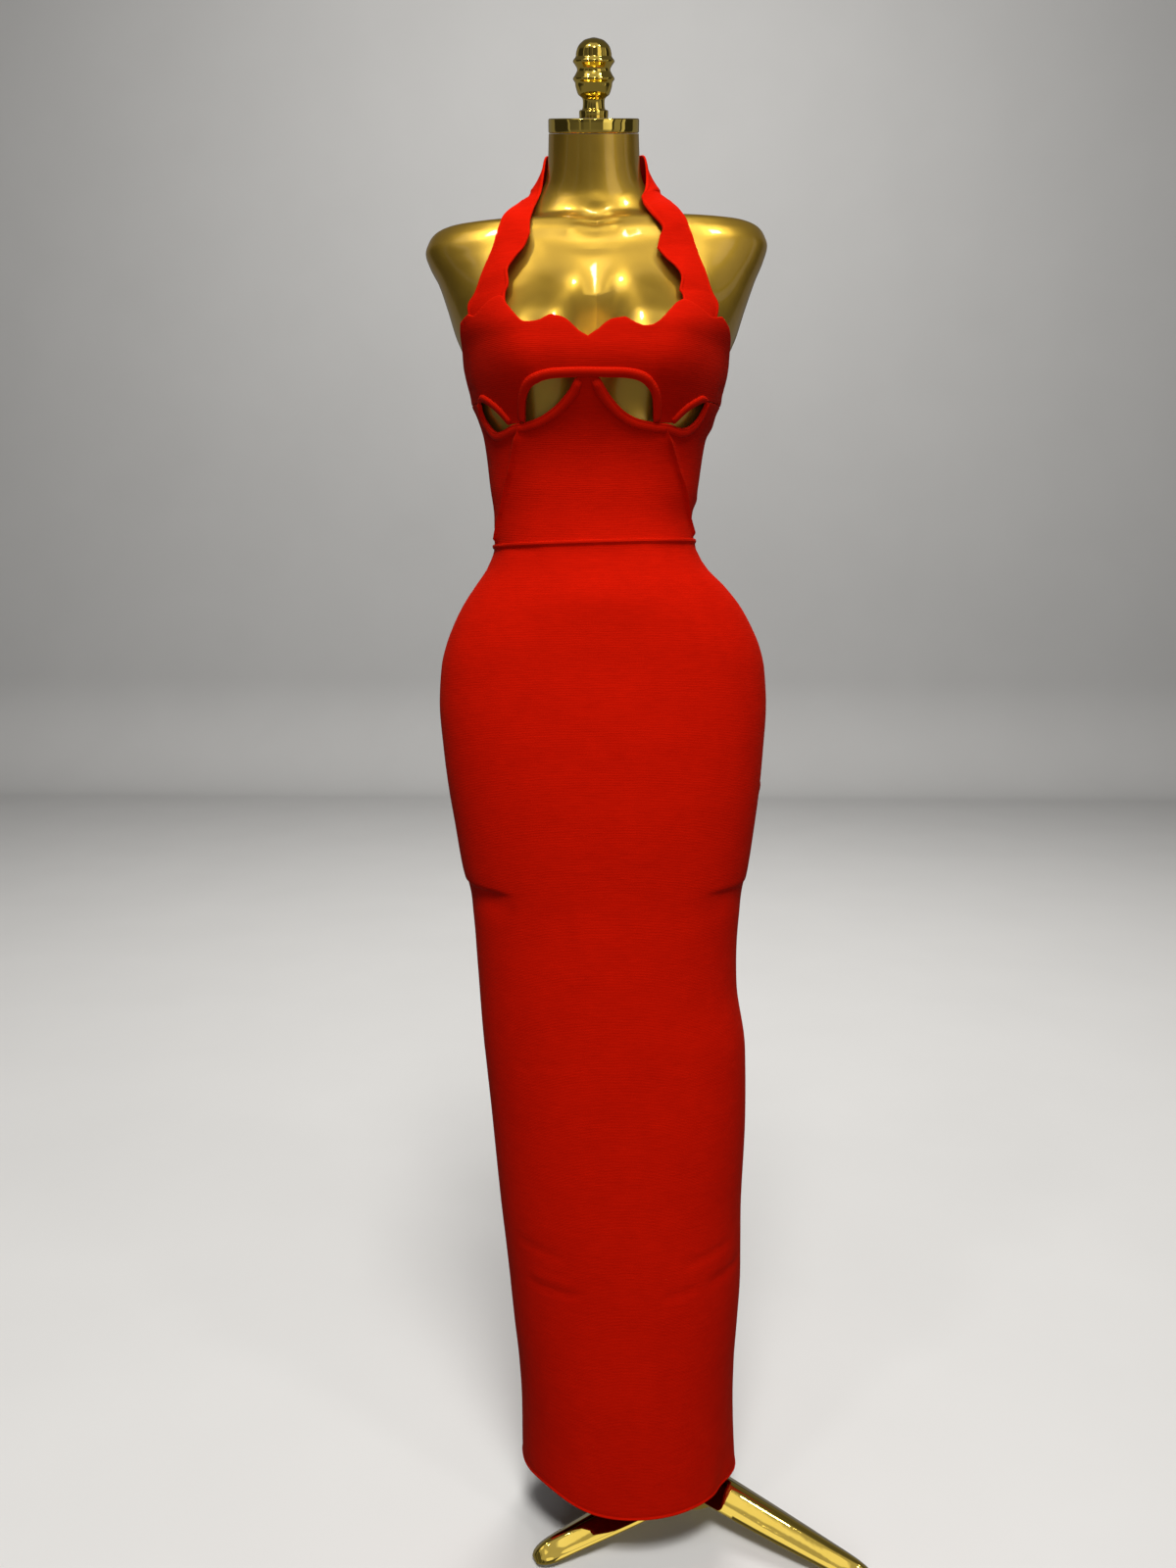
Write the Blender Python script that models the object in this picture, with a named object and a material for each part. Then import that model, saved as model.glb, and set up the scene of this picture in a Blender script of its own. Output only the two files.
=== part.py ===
"""Halter bodycon dress with a scalloped neckline, on a limbless dress form and its tripod stand.

The wearer's front faces -Y and +Z is up. Every level ring of the form and of the dress is one
superellipse, so both are worked out from the same short tables of sections. A point of the dress
is given by its turn around the body (0 at the centre front, 90 at the +X side, 180 behind), its
height, and how far it stands out from the dress's inner face.
"""

import math
from collections import namedtuple

import bmesh
import bpy
from mathutils import Vector
from mathutils.geometry import delaunay_2d_cdt

# ---- Driving sizes, in metres ----

CLOTH = 0.0020  # wall of the bandage knit
EASE = 0.0013  # air between the form and the cloth
SEAM_GAP = 0.0003  # air between two neighbouring pieces
BINDING_WIDTH = 0.0080
BINDING_THICK = 0.0016
LEAF_BINDING_WIDTH = 0.0065
SEAM_TURN = 0.12  # degrees of turn on each side of an upright seam

FORM_EDGE = 0.764  # flat underside of the form
FORM_EDGE_ROUND = 0.009
WAIST_SEAM = 1.1460
WAIST_TILT = 0.0035  # rise of the waist seam at the +X side
TURN_LENGTH = 0.0021  # cloth length of one degree of turn, about 0.12 m from the axis

NECK_BEND = 1.4900  # the neck starts to lean forward here
NECK_TOP = 1.5608
NECK_Y = 0.0050
NECK_LEAN = 0.3463  # forward lean of the neck's axis at its top, as a slope
SHOULDER_START = 1.4000
SHOULDER_RISE = 0.0260  # how much the +X shoulder is higher, as a slope
NECK_RISE = 0.0065  # what is left of that slope in the neck

BUST_HEIGHT = 1.3300
BUST_SPREAD = 0.0740  # from the centre line to the fullest point
BUST_RISE = 0.0370  # how far the fullest point stands out from the chest wall
BUST_WIDTH = 0.0480
BUST_ABOVE = 0.0560  # how softly the bust fades upwards
BUST_BELOW_FORM = 0.0300
BUST_BELOW_DRESS = 0.0560  # the cloth falls straighter under the bust than the form does
CENTRE_BRIDGE = 0.86  # share of the rise that the cloth keeps across the centre front

DISC_RADIUS = 0.0466
DISC_THICK = 0.0134
DISC_EDGE = 0.0012

STAND_X = 0.1250
STAND_Y = -0.0150
POLE_RADIUS = 0.0160
SOCKET_RADIUS = 0.0250
SOCKET_HEIGHT = 0.0320
HUB_RADIUS = 0.0322
HUB_TOP = 0.0600
HUB_BOTTOM = 0.0150
HUB_EDGE = 0.0030
LEGS = {"plus_x": (-34.4, 0.2300), "minus_x": (207.6, 0.2110), "behind": (98.0, 0.2200)}  # turn, length
PAD_RADIUS = 0.0110
PAD_THICK = 0.0040

FORM_SIDES = 48  # faces around the form
SKIRT_SIDES = 20  # faces across half of the skirt
SEAM_STEP = 0.0140  # longest step along a curved seam or a bound edge
BUST_LEVELS = [1.272, 1.300, 1.328, 1.350, 1.373, 1.401]  # more rings where the bust rounds

GOLD = (0.62, 0.44, 0.13)
BRIGHT_GOLD = (0.80, 0.60, 0.22)
RED = (0.58, 0.012, 0.006)
RED_BINDING = (0.62, 0.016, 0.008)
CLEAR_PAD = (0.75, 0.74, 0.70)

Section = namedtuple("Section", "height middle half_width front back square")

# Level sections of the form: height, sideways shift of the middle, half width, depth in front of
# the axis, depth behind it, and how square the ring is (2 is an ellipse).
FORM_SECTIONS = [
    Section(0.764, 0.0150, 0.1530, 0.0930, 0.1180, 2.15),
    Section(0.792, 0.0138, 0.1580, 0.0945, 0.1260, 2.15),
    Section(0.837, 0.0130, 0.1645, 0.0965, 0.1365, 2.15),
    Section(0.882, 0.0118, 0.1705, 0.0975, 0.1430, 2.15),
    Section(0.926, 0.0107, 0.1745, 0.0970, 0.1460, 2.15),
    Section(0.970, 0.0100, 0.1772, 0.0950, 0.1420, 2.12),
    Section(1.013, 0.0097, 0.1743, 0.0930, 0.1300, 2.10),
    Section(1.035, 0.0096, 0.1690, 0.0920, 0.1210, 2.10),
    Section(1.056, 0.0090, 0.1605, 0.0900, 0.1110, 2.10),
    Section(1.078, 0.0082, 0.1488, 0.0870, 0.1000, 2.10),
    Section(1.099, 0.0066, 0.1335, 0.0830, 0.0890, 2.10),
    Section(1.120, 0.0030, 0.1160, 0.0785, 0.0790, 2.10),
    Section(1.141, 0.0005, 0.1062, 0.0750, 0.0715, 2.10),
    Section(1.172, -0.0020, 0.1036, 0.0730, 0.0675, 2.10),
    Section(1.204, -0.0010, 0.1085, 0.0755, 0.0700, 2.10),
    Section(1.255, -0.0005, 0.1155, 0.0820, 0.0810, 2.12),
    Section(1.286, 0.0005, 0.1264, 0.0860, 0.0875, 2.15),
    Section(1.316, 0.0005, 0.1350, 0.0890, 0.0920, 2.20),
    Section(1.340, 0.0000, 0.1400, 0.0900, 0.0940, 2.30),
    Section(1.360, 0.0000, 0.1480, 0.0870, 0.0945, 2.45),
    Section(1.386, 0.0000, 0.1560, 0.0800, 0.0935, 2.65),
    Section(1.416, 0.0000, 0.1665, 0.0705, 0.0910, 2.80),
    Section(1.433, 0.0000, 0.1745, 0.0650, 0.0880, 2.85),
    Section(1.447, 0.0000, 0.1785, 0.0610, 0.0850, 2.85),
    Section(1.457, 0.0000, 0.1755, 0.0575, 0.0820, 2.75),
    Section(1.4640, 0.0000, 0.1710, 0.0545, 0.0790, 2.65),
    Section(1.4690, 0.0000, 0.1630, 0.0520, 0.0760, 2.60),
    Section(1.4720, 0.0000, 0.1490, 0.0495, 0.0730, 2.50),
    Section(1.4740, 0.0000, 0.1220, 0.0472, 0.0700, 2.20),
    Section(1.4760, -0.0005, 0.0980, 0.0452, 0.0660, 1.90),
    Section(1.4820, -0.0012, 0.0868, 0.0440, 0.0620, 1.75),
    Section(1.4920, -0.0018, 0.0732, 0.0430, 0.0580, 1.70),
    Section(1.5050, -0.0022, 0.0595, 0.0422, 0.0545, 1.80),
    Section(1.5180, -0.0026, 0.0505, 0.0418, 0.0525, 1.95),
    Section(1.5320, -0.0030, 0.0478, 0.0415, 0.0515, 2.00),
    Section(1.5608, -0.0034, 0.0462, 0.0412, 0.0512, 2.00),
]

# The skirt's inner face below the form, where it hangs free and drifts towards +X.
SKIRT_SECTIONS = [
    Section(0.030, 0.0478, 0.1268, 0.1110, 0.1030, 2.10),
    Section(0.085, 0.0460, 0.1258, 0.1100, 0.1030, 2.10),
    Section(0.137, 0.0449, 0.1252, 0.1085, 0.1030, 2.10),
    Section(0.189, 0.0434, 0.1268, 0.1070, 0.1035, 2.10),
    Section(0.240, 0.0420, 0.1308, 0.1055, 0.1040, 2.10),
    Section(0.291, 0.0408, 0.1345, 0.1040, 0.1050, 2.10),
    Section(0.341, 0.0380, 0.1368, 0.1025, 0.1060, 2.10),
    Section(0.390, 0.0350, 0.1392, 0.1010, 0.1075, 2.10),
    Section(0.488, 0.0318, 0.1450, 0.0985, 0.1110, 2.10),
    Section(0.560, 0.0276, 0.1478, 0.0965, 0.1135, 2.10),
    Section(0.584, 0.0258, 0.1484, 0.0960, 0.1145, 2.10),
    Section(0.654, 0.0178, 0.1454, 0.0948, 0.1170, 2.10),
    Section(0.700, 0.0158, 0.1464, 0.0942, 0.1188, 2.12),
    Section(0.747, 0.0152, 0.1500, 0.0940, 0.1215, 2.14),
]

# The dress's inner face near the neckline, where the straps hold it off the chest.
NECKLINE_SECTIONS = [
    Section(1.360, 0.0000, 0.1498, 0.0950, 0.0962, 2.45),
    Section(1.395, 0.0000, 0.1630, 0.0890, 0.0950, 2.65),
]

# Height of the hem at the front, the two sides and the back.
HEM_HEIGHTS = {"front": 0.0550, "side_plus_x": 0.0600, "back": 0.0580, "side_minus_x": 0.0660}
HEM_LIFT = 0.0100  # the hem rises a little at the front of the -X side
LIFT_TURN = -48.0
LIFT_WIDTH = 22.0

# Folds pressed into the hanging skirt: turn, width in degrees, depth, lowest and highest height.
Fold = namedtuple("Fold", "turn width depth low high")
SKIRT_FOLDS = [
    Fold(58.0, 7.0, 0.0060, 0.000, 0.120),
    Fold(76.0, 8.0, -0.0035, 0.000, 0.150),
    Fold(-118.0, 12.0, 0.0045, 0.000, 0.260),
    Fold(140.0, 12.0, 0.0050, 0.000, 0.300),
]

# ---- Outlines of the bodice in the front view: sideways place and height ----

NECKLINE = [
    (-0.1368, 1.3647), (-0.1285, 1.3700), (-0.1209, 1.3675), (-0.1072, 1.3778),
    (-0.1002, 1.3817), (-0.0931, 1.3815), (-0.0858, 1.3703), (-0.0728, 1.3551),
    (-0.0632, 1.3538), (-0.0538, 1.3562), (-0.0452, 1.3600), (-0.0367, 1.3588),
    (-0.0290, 1.3555), (-0.0148, 1.3425), (-0.0081, 1.3408), (-0.0015, 1.3445),
    (0.0126, 1.3548), (0.0278, 1.3580), (0.0411, 1.3516), (0.0516, 1.3508),
    (0.0620, 1.3556), (0.0777, 1.3735), (0.0857, 1.3786), (0.0927, 1.3764),
    (0.1134, 1.3660), (0.1254, 1.3683),
]
ARCH = [
    (-0.0711, 1.2644), (-0.0708, 1.2750), (-0.0693, 1.2861), (-0.0630, 1.2968),
    (-0.0474, 1.3025), (-0.0223, 1.3038), (0.0064, 1.3038), (0.0314, 1.3033),
    (0.0460, 1.2995), (0.0552, 1.2897), (0.0576, 1.2770), (0.0582, 1.2644),
]
LEAF_TOP_MINUS_X = [(-0.1185, 1.2877), (-0.1125, 1.2876), (-0.0998, 1.2778), (-0.0867, 1.2632)]
LEAF_TOP_PLUS_X = [(0.0776, 1.2644), (0.0913, 1.2774), (0.1048, 1.2863), (0.1126, 1.2886)]
LEAF_LOW_MINUS_X = [
    (-0.1185, 1.2877), (-0.1160, 1.2760), (-0.1107, 1.2673), (-0.1050, 1.2600), (-0.0999, 1.2572),
    (-0.0930, 1.2585), (-0.0860, 1.2615), (-0.0775, 1.2634),
]
LEAF_LOW_PLUS_X = [
    (0.0705, 1.2634), (0.0776, 1.2622), (0.0850, 1.2604), (0.0925, 1.2616), (0.1000, 1.2670),
    (0.1059, 1.2743), (0.1126, 1.2886),
]
MIDRIFF_TOP_MINUS_X = [
    (-0.0775, 1.2634), (-0.0702, 1.2636), (-0.0550, 1.2684), (-0.0400, 1.2776),
    (-0.0272, 1.2903), (-0.0204, 1.3012),
]
MIDRIFF_TOP_PLUS_X = [
    (0.0036, 1.3012), (0.0134, 1.2869), (0.0263, 1.2741), (0.0413, 1.2666),
    (0.0583, 1.2638), (0.0705, 1.2634),
]
MIDRIFF_TAB = [(-0.0190, 1.3034), (0.0025, 1.3034)]
# The princess seams below the bindings.
PRINCESS_MINUS_X = [(-0.0858, 1.2187), (-0.0953, 1.1800), (-0.1046, 1.1427)]
PRINCESS_PLUS_X = [(0.0838, 1.2194), (0.0953, 1.1813), (0.1046, 1.1497)]

# The armholes and the top of the back, as turns and heights.
ARMHOLE_MINUS_X = [(-90.0, 1.3200), (-79.0, 1.3340), (-70.0, 1.3500)]
ARMHOLE_PLUS_X = [(60.0, 1.3610), (70.0, 1.3490), (80.0, 1.3340), (90.0, 1.3200)]
BACK_TOP = [
    (90.0, 1.3200), (102.0, 1.3080), (122.0, 1.2880), (150.0, 1.2690), (180.0, 1.2620),
    (210.0, 1.2690), (238.0, 1.2880), (258.0, 1.3080), (270.0, 1.3200),
]
SIDE_SEAM_CUP = 1.2915  # where the seam under the cup meets the side seam

# Halter straps: both edges from the cup to the centre back of the neck. The outer edge is plain
# and the inner edge, next to the neck, is scalloped. The crown is how far the middle stands out
# from the line between the edges.
StrapRow = namedtuple("StrapRow", "outer_x outer_y outer_z inner_x inner_y inner_z crown")
STRAP_MINUS_X = [
    StrapRow(-0.1290, -0.0665, 1.3790, -0.0900, -0.0950, 1.3840, 0.0015),
    StrapRow(-0.1226, -0.0695, 1.3897, -0.0866, -0.0930, 1.3940, 0.0015),
    StrapRow(-0.1165, -0.0690, 1.4040, -0.0878, -0.0890, 1.4070, 0.0015),
    StrapRow(-0.1108, -0.0665, 1.4186, -0.0869, -0.0860, 1.4125, 0.0015),
    StrapRow(-0.1068, -0.0655, 1.4290, -0.0795, -0.0810, 1.4236, 0.0015),
    StrapRow(-0.1032, -0.0640, 1.4389, -0.0719, -0.0755, 1.4335, 0.0015),
    StrapRow(-0.0990, -0.0605, 1.4540, -0.0662, -0.0690, 1.4480, 0.0015),
    StrapRow(-0.0945, -0.0545, 1.4680, -0.0667, -0.0600, 1.4614, 0.0015),
    StrapRow(-0.0848, -0.0360, 1.4812, -0.0644, -0.0490, 1.4743, 0.0015),
    StrapRow(-0.0780, -0.0120, 1.4935, -0.0623, -0.0345, 1.4846, 0.0035),
    StrapRow(-0.0712, 0.0098, 1.4982, -0.0595, -0.0235, 1.4948, 0.0065),
    StrapRow(-0.0635, 0.0212, 1.5018, -0.0569, -0.0178, 1.5046, 0.0095),
    StrapRow(-0.0559, 0.0298, 1.5050, -0.0546, -0.0102, 1.5177, 0.0065),
    StrapRow(-0.0466, 0.0385, 1.5091, -0.0528, 0.0021, 1.5329, 0.0040),
    StrapRow(-0.0355, 0.0472, 1.5136, -0.0478, 0.0199, 1.5420, 0.0015),
    StrapRow(-0.0187, 0.0541, 1.5179, -0.0270, 0.0380, 1.5540, 0.0015),
    StrapRow(-0.0003, 0.0567, 1.5190, -0.0003, 0.0434, 1.5578, 0.0015),
]
STRAP_PLUS_X = [
    StrapRow(0.1220, -0.0725, 1.3800, 0.0850, -0.0970, 1.3820, 0.0015),
    StrapRow(0.1165, -0.0735, 1.3910, 0.0814, -0.0935, 1.3890, 0.0015),
    StrapRow(0.1110, -0.0715, 1.4050, 0.0834, -0.0895, 1.4030, 0.0015),
    StrapRow(0.1070, -0.0690, 1.4165, 0.0777, -0.0860, 1.4129, 0.0015),
    StrapRow(0.1025, -0.0665, 1.4290, 0.0690, -0.0805, 1.4215, 0.0015),
    StrapRow(0.0987, -0.0635, 1.4398, 0.0600, -0.0735, 1.4330, 0.0015),
    StrapRow(0.0940, -0.0605, 1.4540, 0.0628, -0.0690, 1.4460, 0.0015),
    StrapRow(0.0895, -0.0555, 1.4670, 0.0652, -0.0650, 1.4551, 0.0030),
    StrapRow(0.0827, -0.0405, 1.4788, 0.0546, -0.0585, 1.4693, 0.0060),
    StrapRow(0.0768, -0.0140, 1.4933, 0.0477, -0.0430, 1.4831, 0.0055),
    StrapRow(0.0696, 0.0074, 1.4989, 0.0454, -0.0360, 1.4927, 0.0090),
    StrapRow(0.0615, 0.0184, 1.5026, 0.0498, -0.0250, 1.5013, 0.0105),
    StrapRow(0.0533, 0.0276, 1.5061, 0.0512, -0.0120, 1.5132, 0.0075),
    StrapRow(0.0438, 0.0371, 1.5097, 0.0491, 0.0010, 1.5306, 0.0025),
    StrapRow(0.0330, 0.0455, 1.5146, 0.0420, 0.0195, 1.5418, 0.0015),
    StrapRow(0.0171, 0.0530, 1.5184, 0.0219, 0.0373, 1.5544, 0.0015),
    StrapRow(0.0003, 0.0566, 1.5190, 0.0003, 0.0433, 1.5578, 0.0015),
]
STRAP_ROOT = 0.0160  # how far a strap reaches down behind its cup
STRAP_BEHIND = 0.0012  # air between a strap's end and the cup in front of it

# ---- The hard parts ----

FINIAL = [  # radius and height above the disc
    (0.0147, 0.0000), (0.0147, 0.0066), (0.0116, 0.0083), (0.0114, 0.0170), (0.0159, 0.0212),
    (0.0184, 0.0280), (0.0190, 0.0316), (0.0211, 0.0350), (0.0190, 0.0383), (0.0170, 0.0420),
    (0.0170, 0.0442), (0.0189, 0.0472), (0.0210, 0.0505), (0.0182, 0.0545), (0.0178, 0.0577),
    (0.0155, 0.0637), (0.0100, 0.0686), (0.0035, 0.0706),
]
LegRow = namedtuple("LegRow", "along half_width ridge edge under")
LEG_ROWS = [  # distance from the hub's axis, half width, heights of ridge, side edge and underside
    LegRow(0.0325, 0.0290, 0.0540, 0.0340, 0.0280),
    LegRow(0.1000, 0.0255, 0.0420, 0.0245, 0.0185),
    LegRow(0.1650, 0.0205, 0.0305, 0.0160, 0.0105),
    LegRow(0.1900, 0.0185, 0.0265, 0.0125, 0.0060),
    LegRow(0.2030, 0.0165, 0.0235, 0.0100, 0.0045),
    LegRow(0.2120, 0.0125, 0.0185, 0.0085, 0.0045),
    LegRow(0.2170, 0.0070, 0.0125, 0.0070, 0.0047),
]
PAD_BEFORE_TIP = 0.0150


# ---- Sections and surfaces ----

def monotone_slopes(heights, values):
    """Slopes of a smooth curve through the values that never overshoots them."""
    steps = [heights[i + 1] - heights[i] for i in range(len(heights) - 1)]
    chords = [(values[i + 1] - values[i]) / steps[i] for i in range(len(steps))]
    slopes = [chords[0]]
    for i in range(1, len(chords)):
        before = chords[i - 1]
        after = chords[i]
        if before * after <= 0:
            slopes.append(0.0)
        else:
            weight_before = 2 * steps[i] + steps[i - 1]
            weight_after = steps[i] + 2 * steps[i - 1]
            total = weight_before + weight_after
            slopes.append(total / (weight_before / before + weight_after / after))
    slopes.append(chords[-1])
    return slopes


class SectionTable:
    """Smooth sections at any height between the first and the last of a table."""

    def __init__(self, rows):
        self.rows = rows
        self.heights = [row.height for row in rows]
        self.slopes = []
        for column in range(1, len(Section._fields)):
            self.slopes.append(monotone_slopes(self.heights, [row[column] for row in rows]))

    def at(self, height):
        height = min(max(height, self.heights[0]), self.heights[-1])
        low = 0
        while low < len(self.rows) - 2 and height > self.heights[low + 1]:
            low += 1
        step = self.heights[low + 1] - self.heights[low]
        share = (height - self.heights[low]) / step
        share_2 = share * share
        share_3 = share_2 * share
        values = [height]
        for column in range(1, len(Section._fields)):
            slopes = self.slopes[column - 1]
            start = self.rows[low][column]
            end = self.rows[low + 1][column]
            values.append(
                (2 * share_3 - 3 * share_2 + 1) * start
                + (share_3 - 2 * share_2 + share) * step * slopes[low]
                + (3 * share_2 - 2 * share_3) * end
                + (share_3 - share_2) * step * slopes[low + 1]
            )
        return Section(*values)


def grown(section, by):
    return section._replace(
        half_width=section.half_width + by,
        front=section.front + by,
        back=section.back + by,
    )


FORM = SectionTable(FORM_SECTIONS)
WORN_SECTIONS = [grown(row, EASE) for row in FORM_SECTIONS if 0.78 < row.height < 1.35]
DRESS = SectionTable(SKIRT_SECTIONS + WORN_SECTIONS + NECKLINE_SECTIONS)


def ring_point(section, turn):
    """A point of a level ring."""
    across = math.sin(math.radians(turn))
    ahead = math.cos(math.radians(turn))
    power = 2.0 / section.square
    depth = section.front if ahead > 0 else section.back
    x = section.middle + math.copysign(section.half_width * abs(across) ** power, across)
    y = -math.copysign(depth * abs(ahead) ** power, ahead)
    return Vector((x, y, section.height))


def bust_rise(turn, x, height, below, bridge):
    """How far the bust stands out in front of the chest wall, fading out before the side."""
    ahead = math.cos(math.radians(turn))
    if ahead <= 0:
        return 0.0
    near_side = min(ahead / 0.45, 1.0)
    fade_out = near_side * near_side * (3 - 2 * near_side)
    fade = BUST_ABOVE if height > BUST_HEIGHT else below
    level = math.exp(-(((height - BUST_HEIGHT) / fade) ** 2))
    from_peak = (abs(x) - BUST_SPREAD) / BUST_WIDTH
    share = math.exp(-(from_peak ** 2))
    if abs(x) < BUST_SPREAD:
        share = max(share, bridge)
    return BUST_RISE * level * share * fade_out


def eased(share):
    """A share from 0 to 1 that starts and ends softly."""
    share = min(max(share, 0.0), 1.0)
    return share * share * (3 - 2 * share)


def posed(point):
    """A point of an upright ring, moved to where the neck leans and one shoulder is higher."""
    length = NECK_TOP - NECK_BEND
    share = min(max((point.z - NECK_BEND) / length, 0.0), 1.0)
    forward = NECK_LEAN * length * (share ** 2 - share ** 3 / 3)
    angle = math.atan(NECK_LEAN * share * (2 - share))
    rise = SHOULDER_RISE * eased((point.z - SHOULDER_START) / 0.05)
    rise -= (SHOULDER_RISE - NECK_RISE) * eased((point.z - 1.475) / 0.04)
    behind = point.y - NECK_Y
    y = NECK_Y - forward + behind * math.cos(angle)
    return Vector((point.x, y, point.z + behind * math.sin(angle) + point.x * rise))


def on_neck(points):
    """A part turned about the upright at the origin, moved on to the top of the neck."""
    angle = math.atan(NECK_LEAN)
    forward = NECK_LEAN * (NECK_TOP - NECK_BEND) * 2 / 3
    middle = FORM.at(NECK_TOP).middle
    top = Vector((middle, NECK_Y - forward, NECK_TOP + middle * NECK_RISE))
    across = Vector((1.0, 0.0, NECK_RISE)).normalized()
    behind = Vector((0.0, math.cos(angle), math.sin(angle)))
    upwards = across.cross(behind).normalized()
    return [top + across * point.x + behind * point.y + upwards * point.z for point in points]


def form_point(turn, height, out=0.0):
    point = ring_point(grown(FORM.at(height), out), turn)
    point.y -= bust_rise(turn, point.x, height, BUST_BELOW_FORM, 0.0)
    return posed(point)


def fold_depth(turn, height):
    """Inward depth of the skirt's pressed folds at a place on it."""
    depth = 0.0
    for fold in SKIRT_FOLDS:
        if fold.low <= height <= fold.high:
            along = (height - fold.low) / (fold.high - fold.low)
            apart = (turn - fold.turn + 180) % 360 - 180
            depth += fold.depth * math.cos(along * math.pi / 2) ** 2 * math.exp(-((apart / fold.width) ** 2))
    return depth


def inner_face(turn, height):
    """The dress's inner face, before any offset."""
    point = ring_point(DRESS.at(height), turn)
    point.y -= bust_rise(turn, point.x, height, BUST_BELOW_DRESS, CENTRE_BRIDGE)
    return point


def outward(turn, height):
    """The direction out of the cloth."""
    turn_step = 0.6
    height_step = 0.0015
    around = inner_face(turn + turn_step, height) - inner_face(turn - turn_step, height)
    upwards = inner_face(turn, height + height_step) - inner_face(turn, height - height_step)
    return around.cross(upwards).normalized()


def dress_point(turn, height, out):
    point = inner_face(turn, height)
    direction = outward(turn, height)
    return point + direction * (out - fold_depth(turn, height))


def turn_at(x, height):
    """Turn at which the front of the dress passes a sideways place."""
    section = DRESS.at(height)
    across = x - section.middle
    share = min(abs(across) / section.half_width, 1.0)
    return math.copysign(math.degrees(math.asin(share ** (section.square / 2))), across)


def on_front(outline):
    """Turns and heights for an outline drawn in the front view as sideways places and heights."""
    return [(turn_at(x, height), height) for x, height in outline]


def waist_height(turn):
    """Level of the waist seam, which sits a little higher on the +X side."""
    return WAIST_SEAM + WAIST_TILT * math.sin(math.radians(turn))


def hem_height(turn):
    """Level of the hem, smoothly joined between front, sides and back."""
    ahead = math.cos(math.radians(turn))
    across = math.sin(math.radians(turn))
    end = HEM_HEIGHTS["front"] if ahead > 0 else HEM_HEIGHTS["back"]
    side = HEM_HEIGHTS["side_plus_x"] if across > 0 else HEM_HEIGHTS["side_minus_x"]
    apart = (turn - LIFT_TURN + 180) % 360 - 180
    lift = HEM_LIFT * math.exp(-((apart / LIFT_WIDTH) ** 2))
    return end * ahead * ahead + side * across * across + lift


# ---- Building solids ----

def make_material(name, colour, roughness, metallic):
    material = bpy.data.materials.new(name)
    material.use_nodes = True
    shader = material.node_tree.nodes["Principled BSDF"]
    shader.inputs["Base Color"].default_value = (*colour, 1.0)
    shader.inputs["Roughness"].default_value = roughness
    shader.inputs["Metallic"].default_value = metallic
    return material


def make_solid(name, points, faces, colour, roughness, metallic, parent):
    """A closed solid of its own object, with its faces turned outwards and round parts smooth."""
    shape = bmesh.new()
    corners = [shape.verts.new(point) for point in points]
    for face in faces:
        shape.faces.new([corners[index] for index in face])
    bmesh.ops.recalc_face_normals(shape, faces=shape.faces)
    bmesh.ops.triangulate(shape, faces=shape.faces)
    mesh = bpy.data.meshes.new(name)
    shape.to_mesh(mesh)
    shape.free()
    mesh.shade_smooth()
    mesh.set_sharp_from_angle(angle=math.radians(40))
    mesh.materials.append(make_material(name, colour, roughness, metallic))
    item = bpy.data.objects.new(name, mesh)
    item.parent = parent
    bpy.context.collection.objects.link(item)
    return item


def make_cloth(name, points, faces, colour, parent):
    return make_solid(name, points, faces, colour, 0.85, 0.0, parent)


def make_gold(name, points, faces, parent, colour=BRIGHT_GOLD, roughness=0.16):
    return make_solid(name, points, faces, colour, roughness, 1.0, parent)


def loft(rings):
    """Points and faces of a closed solid through rings of equal count, with flat ends."""
    count = len(rings[0])
    points = [point for ring in rings for point in ring]
    faces = []
    for level in range(len(rings) - 1):
        for side in range(count):
            after = (side + 1) % count
            low = level * count
            high = low + count
            faces.append((low + side, low + after, high + after, high + side))
    faces.append(tuple(range(count - 1, -1, -1)))
    top = (len(rings) - 1) * count
    faces.append(tuple(range(top, top + count)))
    return points, faces


def turned(profile, centre_x, centre_y, sides):
    """A turned solid through radii and heights, lowest first."""
    rings = []
    for radius, height in profile:
        ring = []
        for side in range(sides):
            angle = 2 * math.pi * side / sides
            x = centre_x + radius * math.cos(angle)
            y = centre_y + radius * math.sin(angle)
            ring.append(Vector((x, y, height)))
        rings.append(ring)
    return loft(rings)


def tube(inner, outer, low, high, centre_x, centre_y, sides):
    """A plain collar with a round hole."""
    rings = [(inner, low), (outer, low), (outer, high), (inner, high)]
    points = []
    for radius, height in rings:
        for side in range(sides):
            angle = 2 * math.pi * side / sides
            x = centre_x + radius * math.cos(angle)
            y = centre_y + radius * math.sin(angle)
            points.append(Vector((x, y, height)))
    faces = []
    for ring in range(4):
        next_ring = (ring + 1) % 4
        for side in range(sides):
            after = (side + 1) % sides
            faces.append((
                ring * sides + side, ring * sides + after,
                next_ring * sides + after, next_ring * sides + side,
            ))
    return points, faces


def wall_from_grid(outside, inside):
    """A wall between two grids of the same rows and columns."""
    rows = len(outside)
    columns = len(outside[0])
    points = [point for row in outside for point in row] + [point for row in inside for point in row]
    back = rows * columns
    faces = []
    for row in range(rows - 1):
        for column in range(columns - 1):
            corner = row * columns + column
            cell = (corner, corner + 1, corner + 1 + columns, corner + columns)
            faces.append(cell)
            faces.append(tuple(back + index for index in reversed(cell)))
    rim = [column for column in range(columns)]
    rim += [row * columns + columns - 1 for row in range(1, rows)]
    rim += [(rows - 1) * columns + column for column in range(columns - 2, -1, -1)]
    rim += [row * columns for row in range(rows - 2, 0, -1)]
    for index, start in enumerate(rim):
        end = rim[(index + 1) % len(rim)]
        faces.append((start, back + start, back + end, end))
    return points, faces


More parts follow.
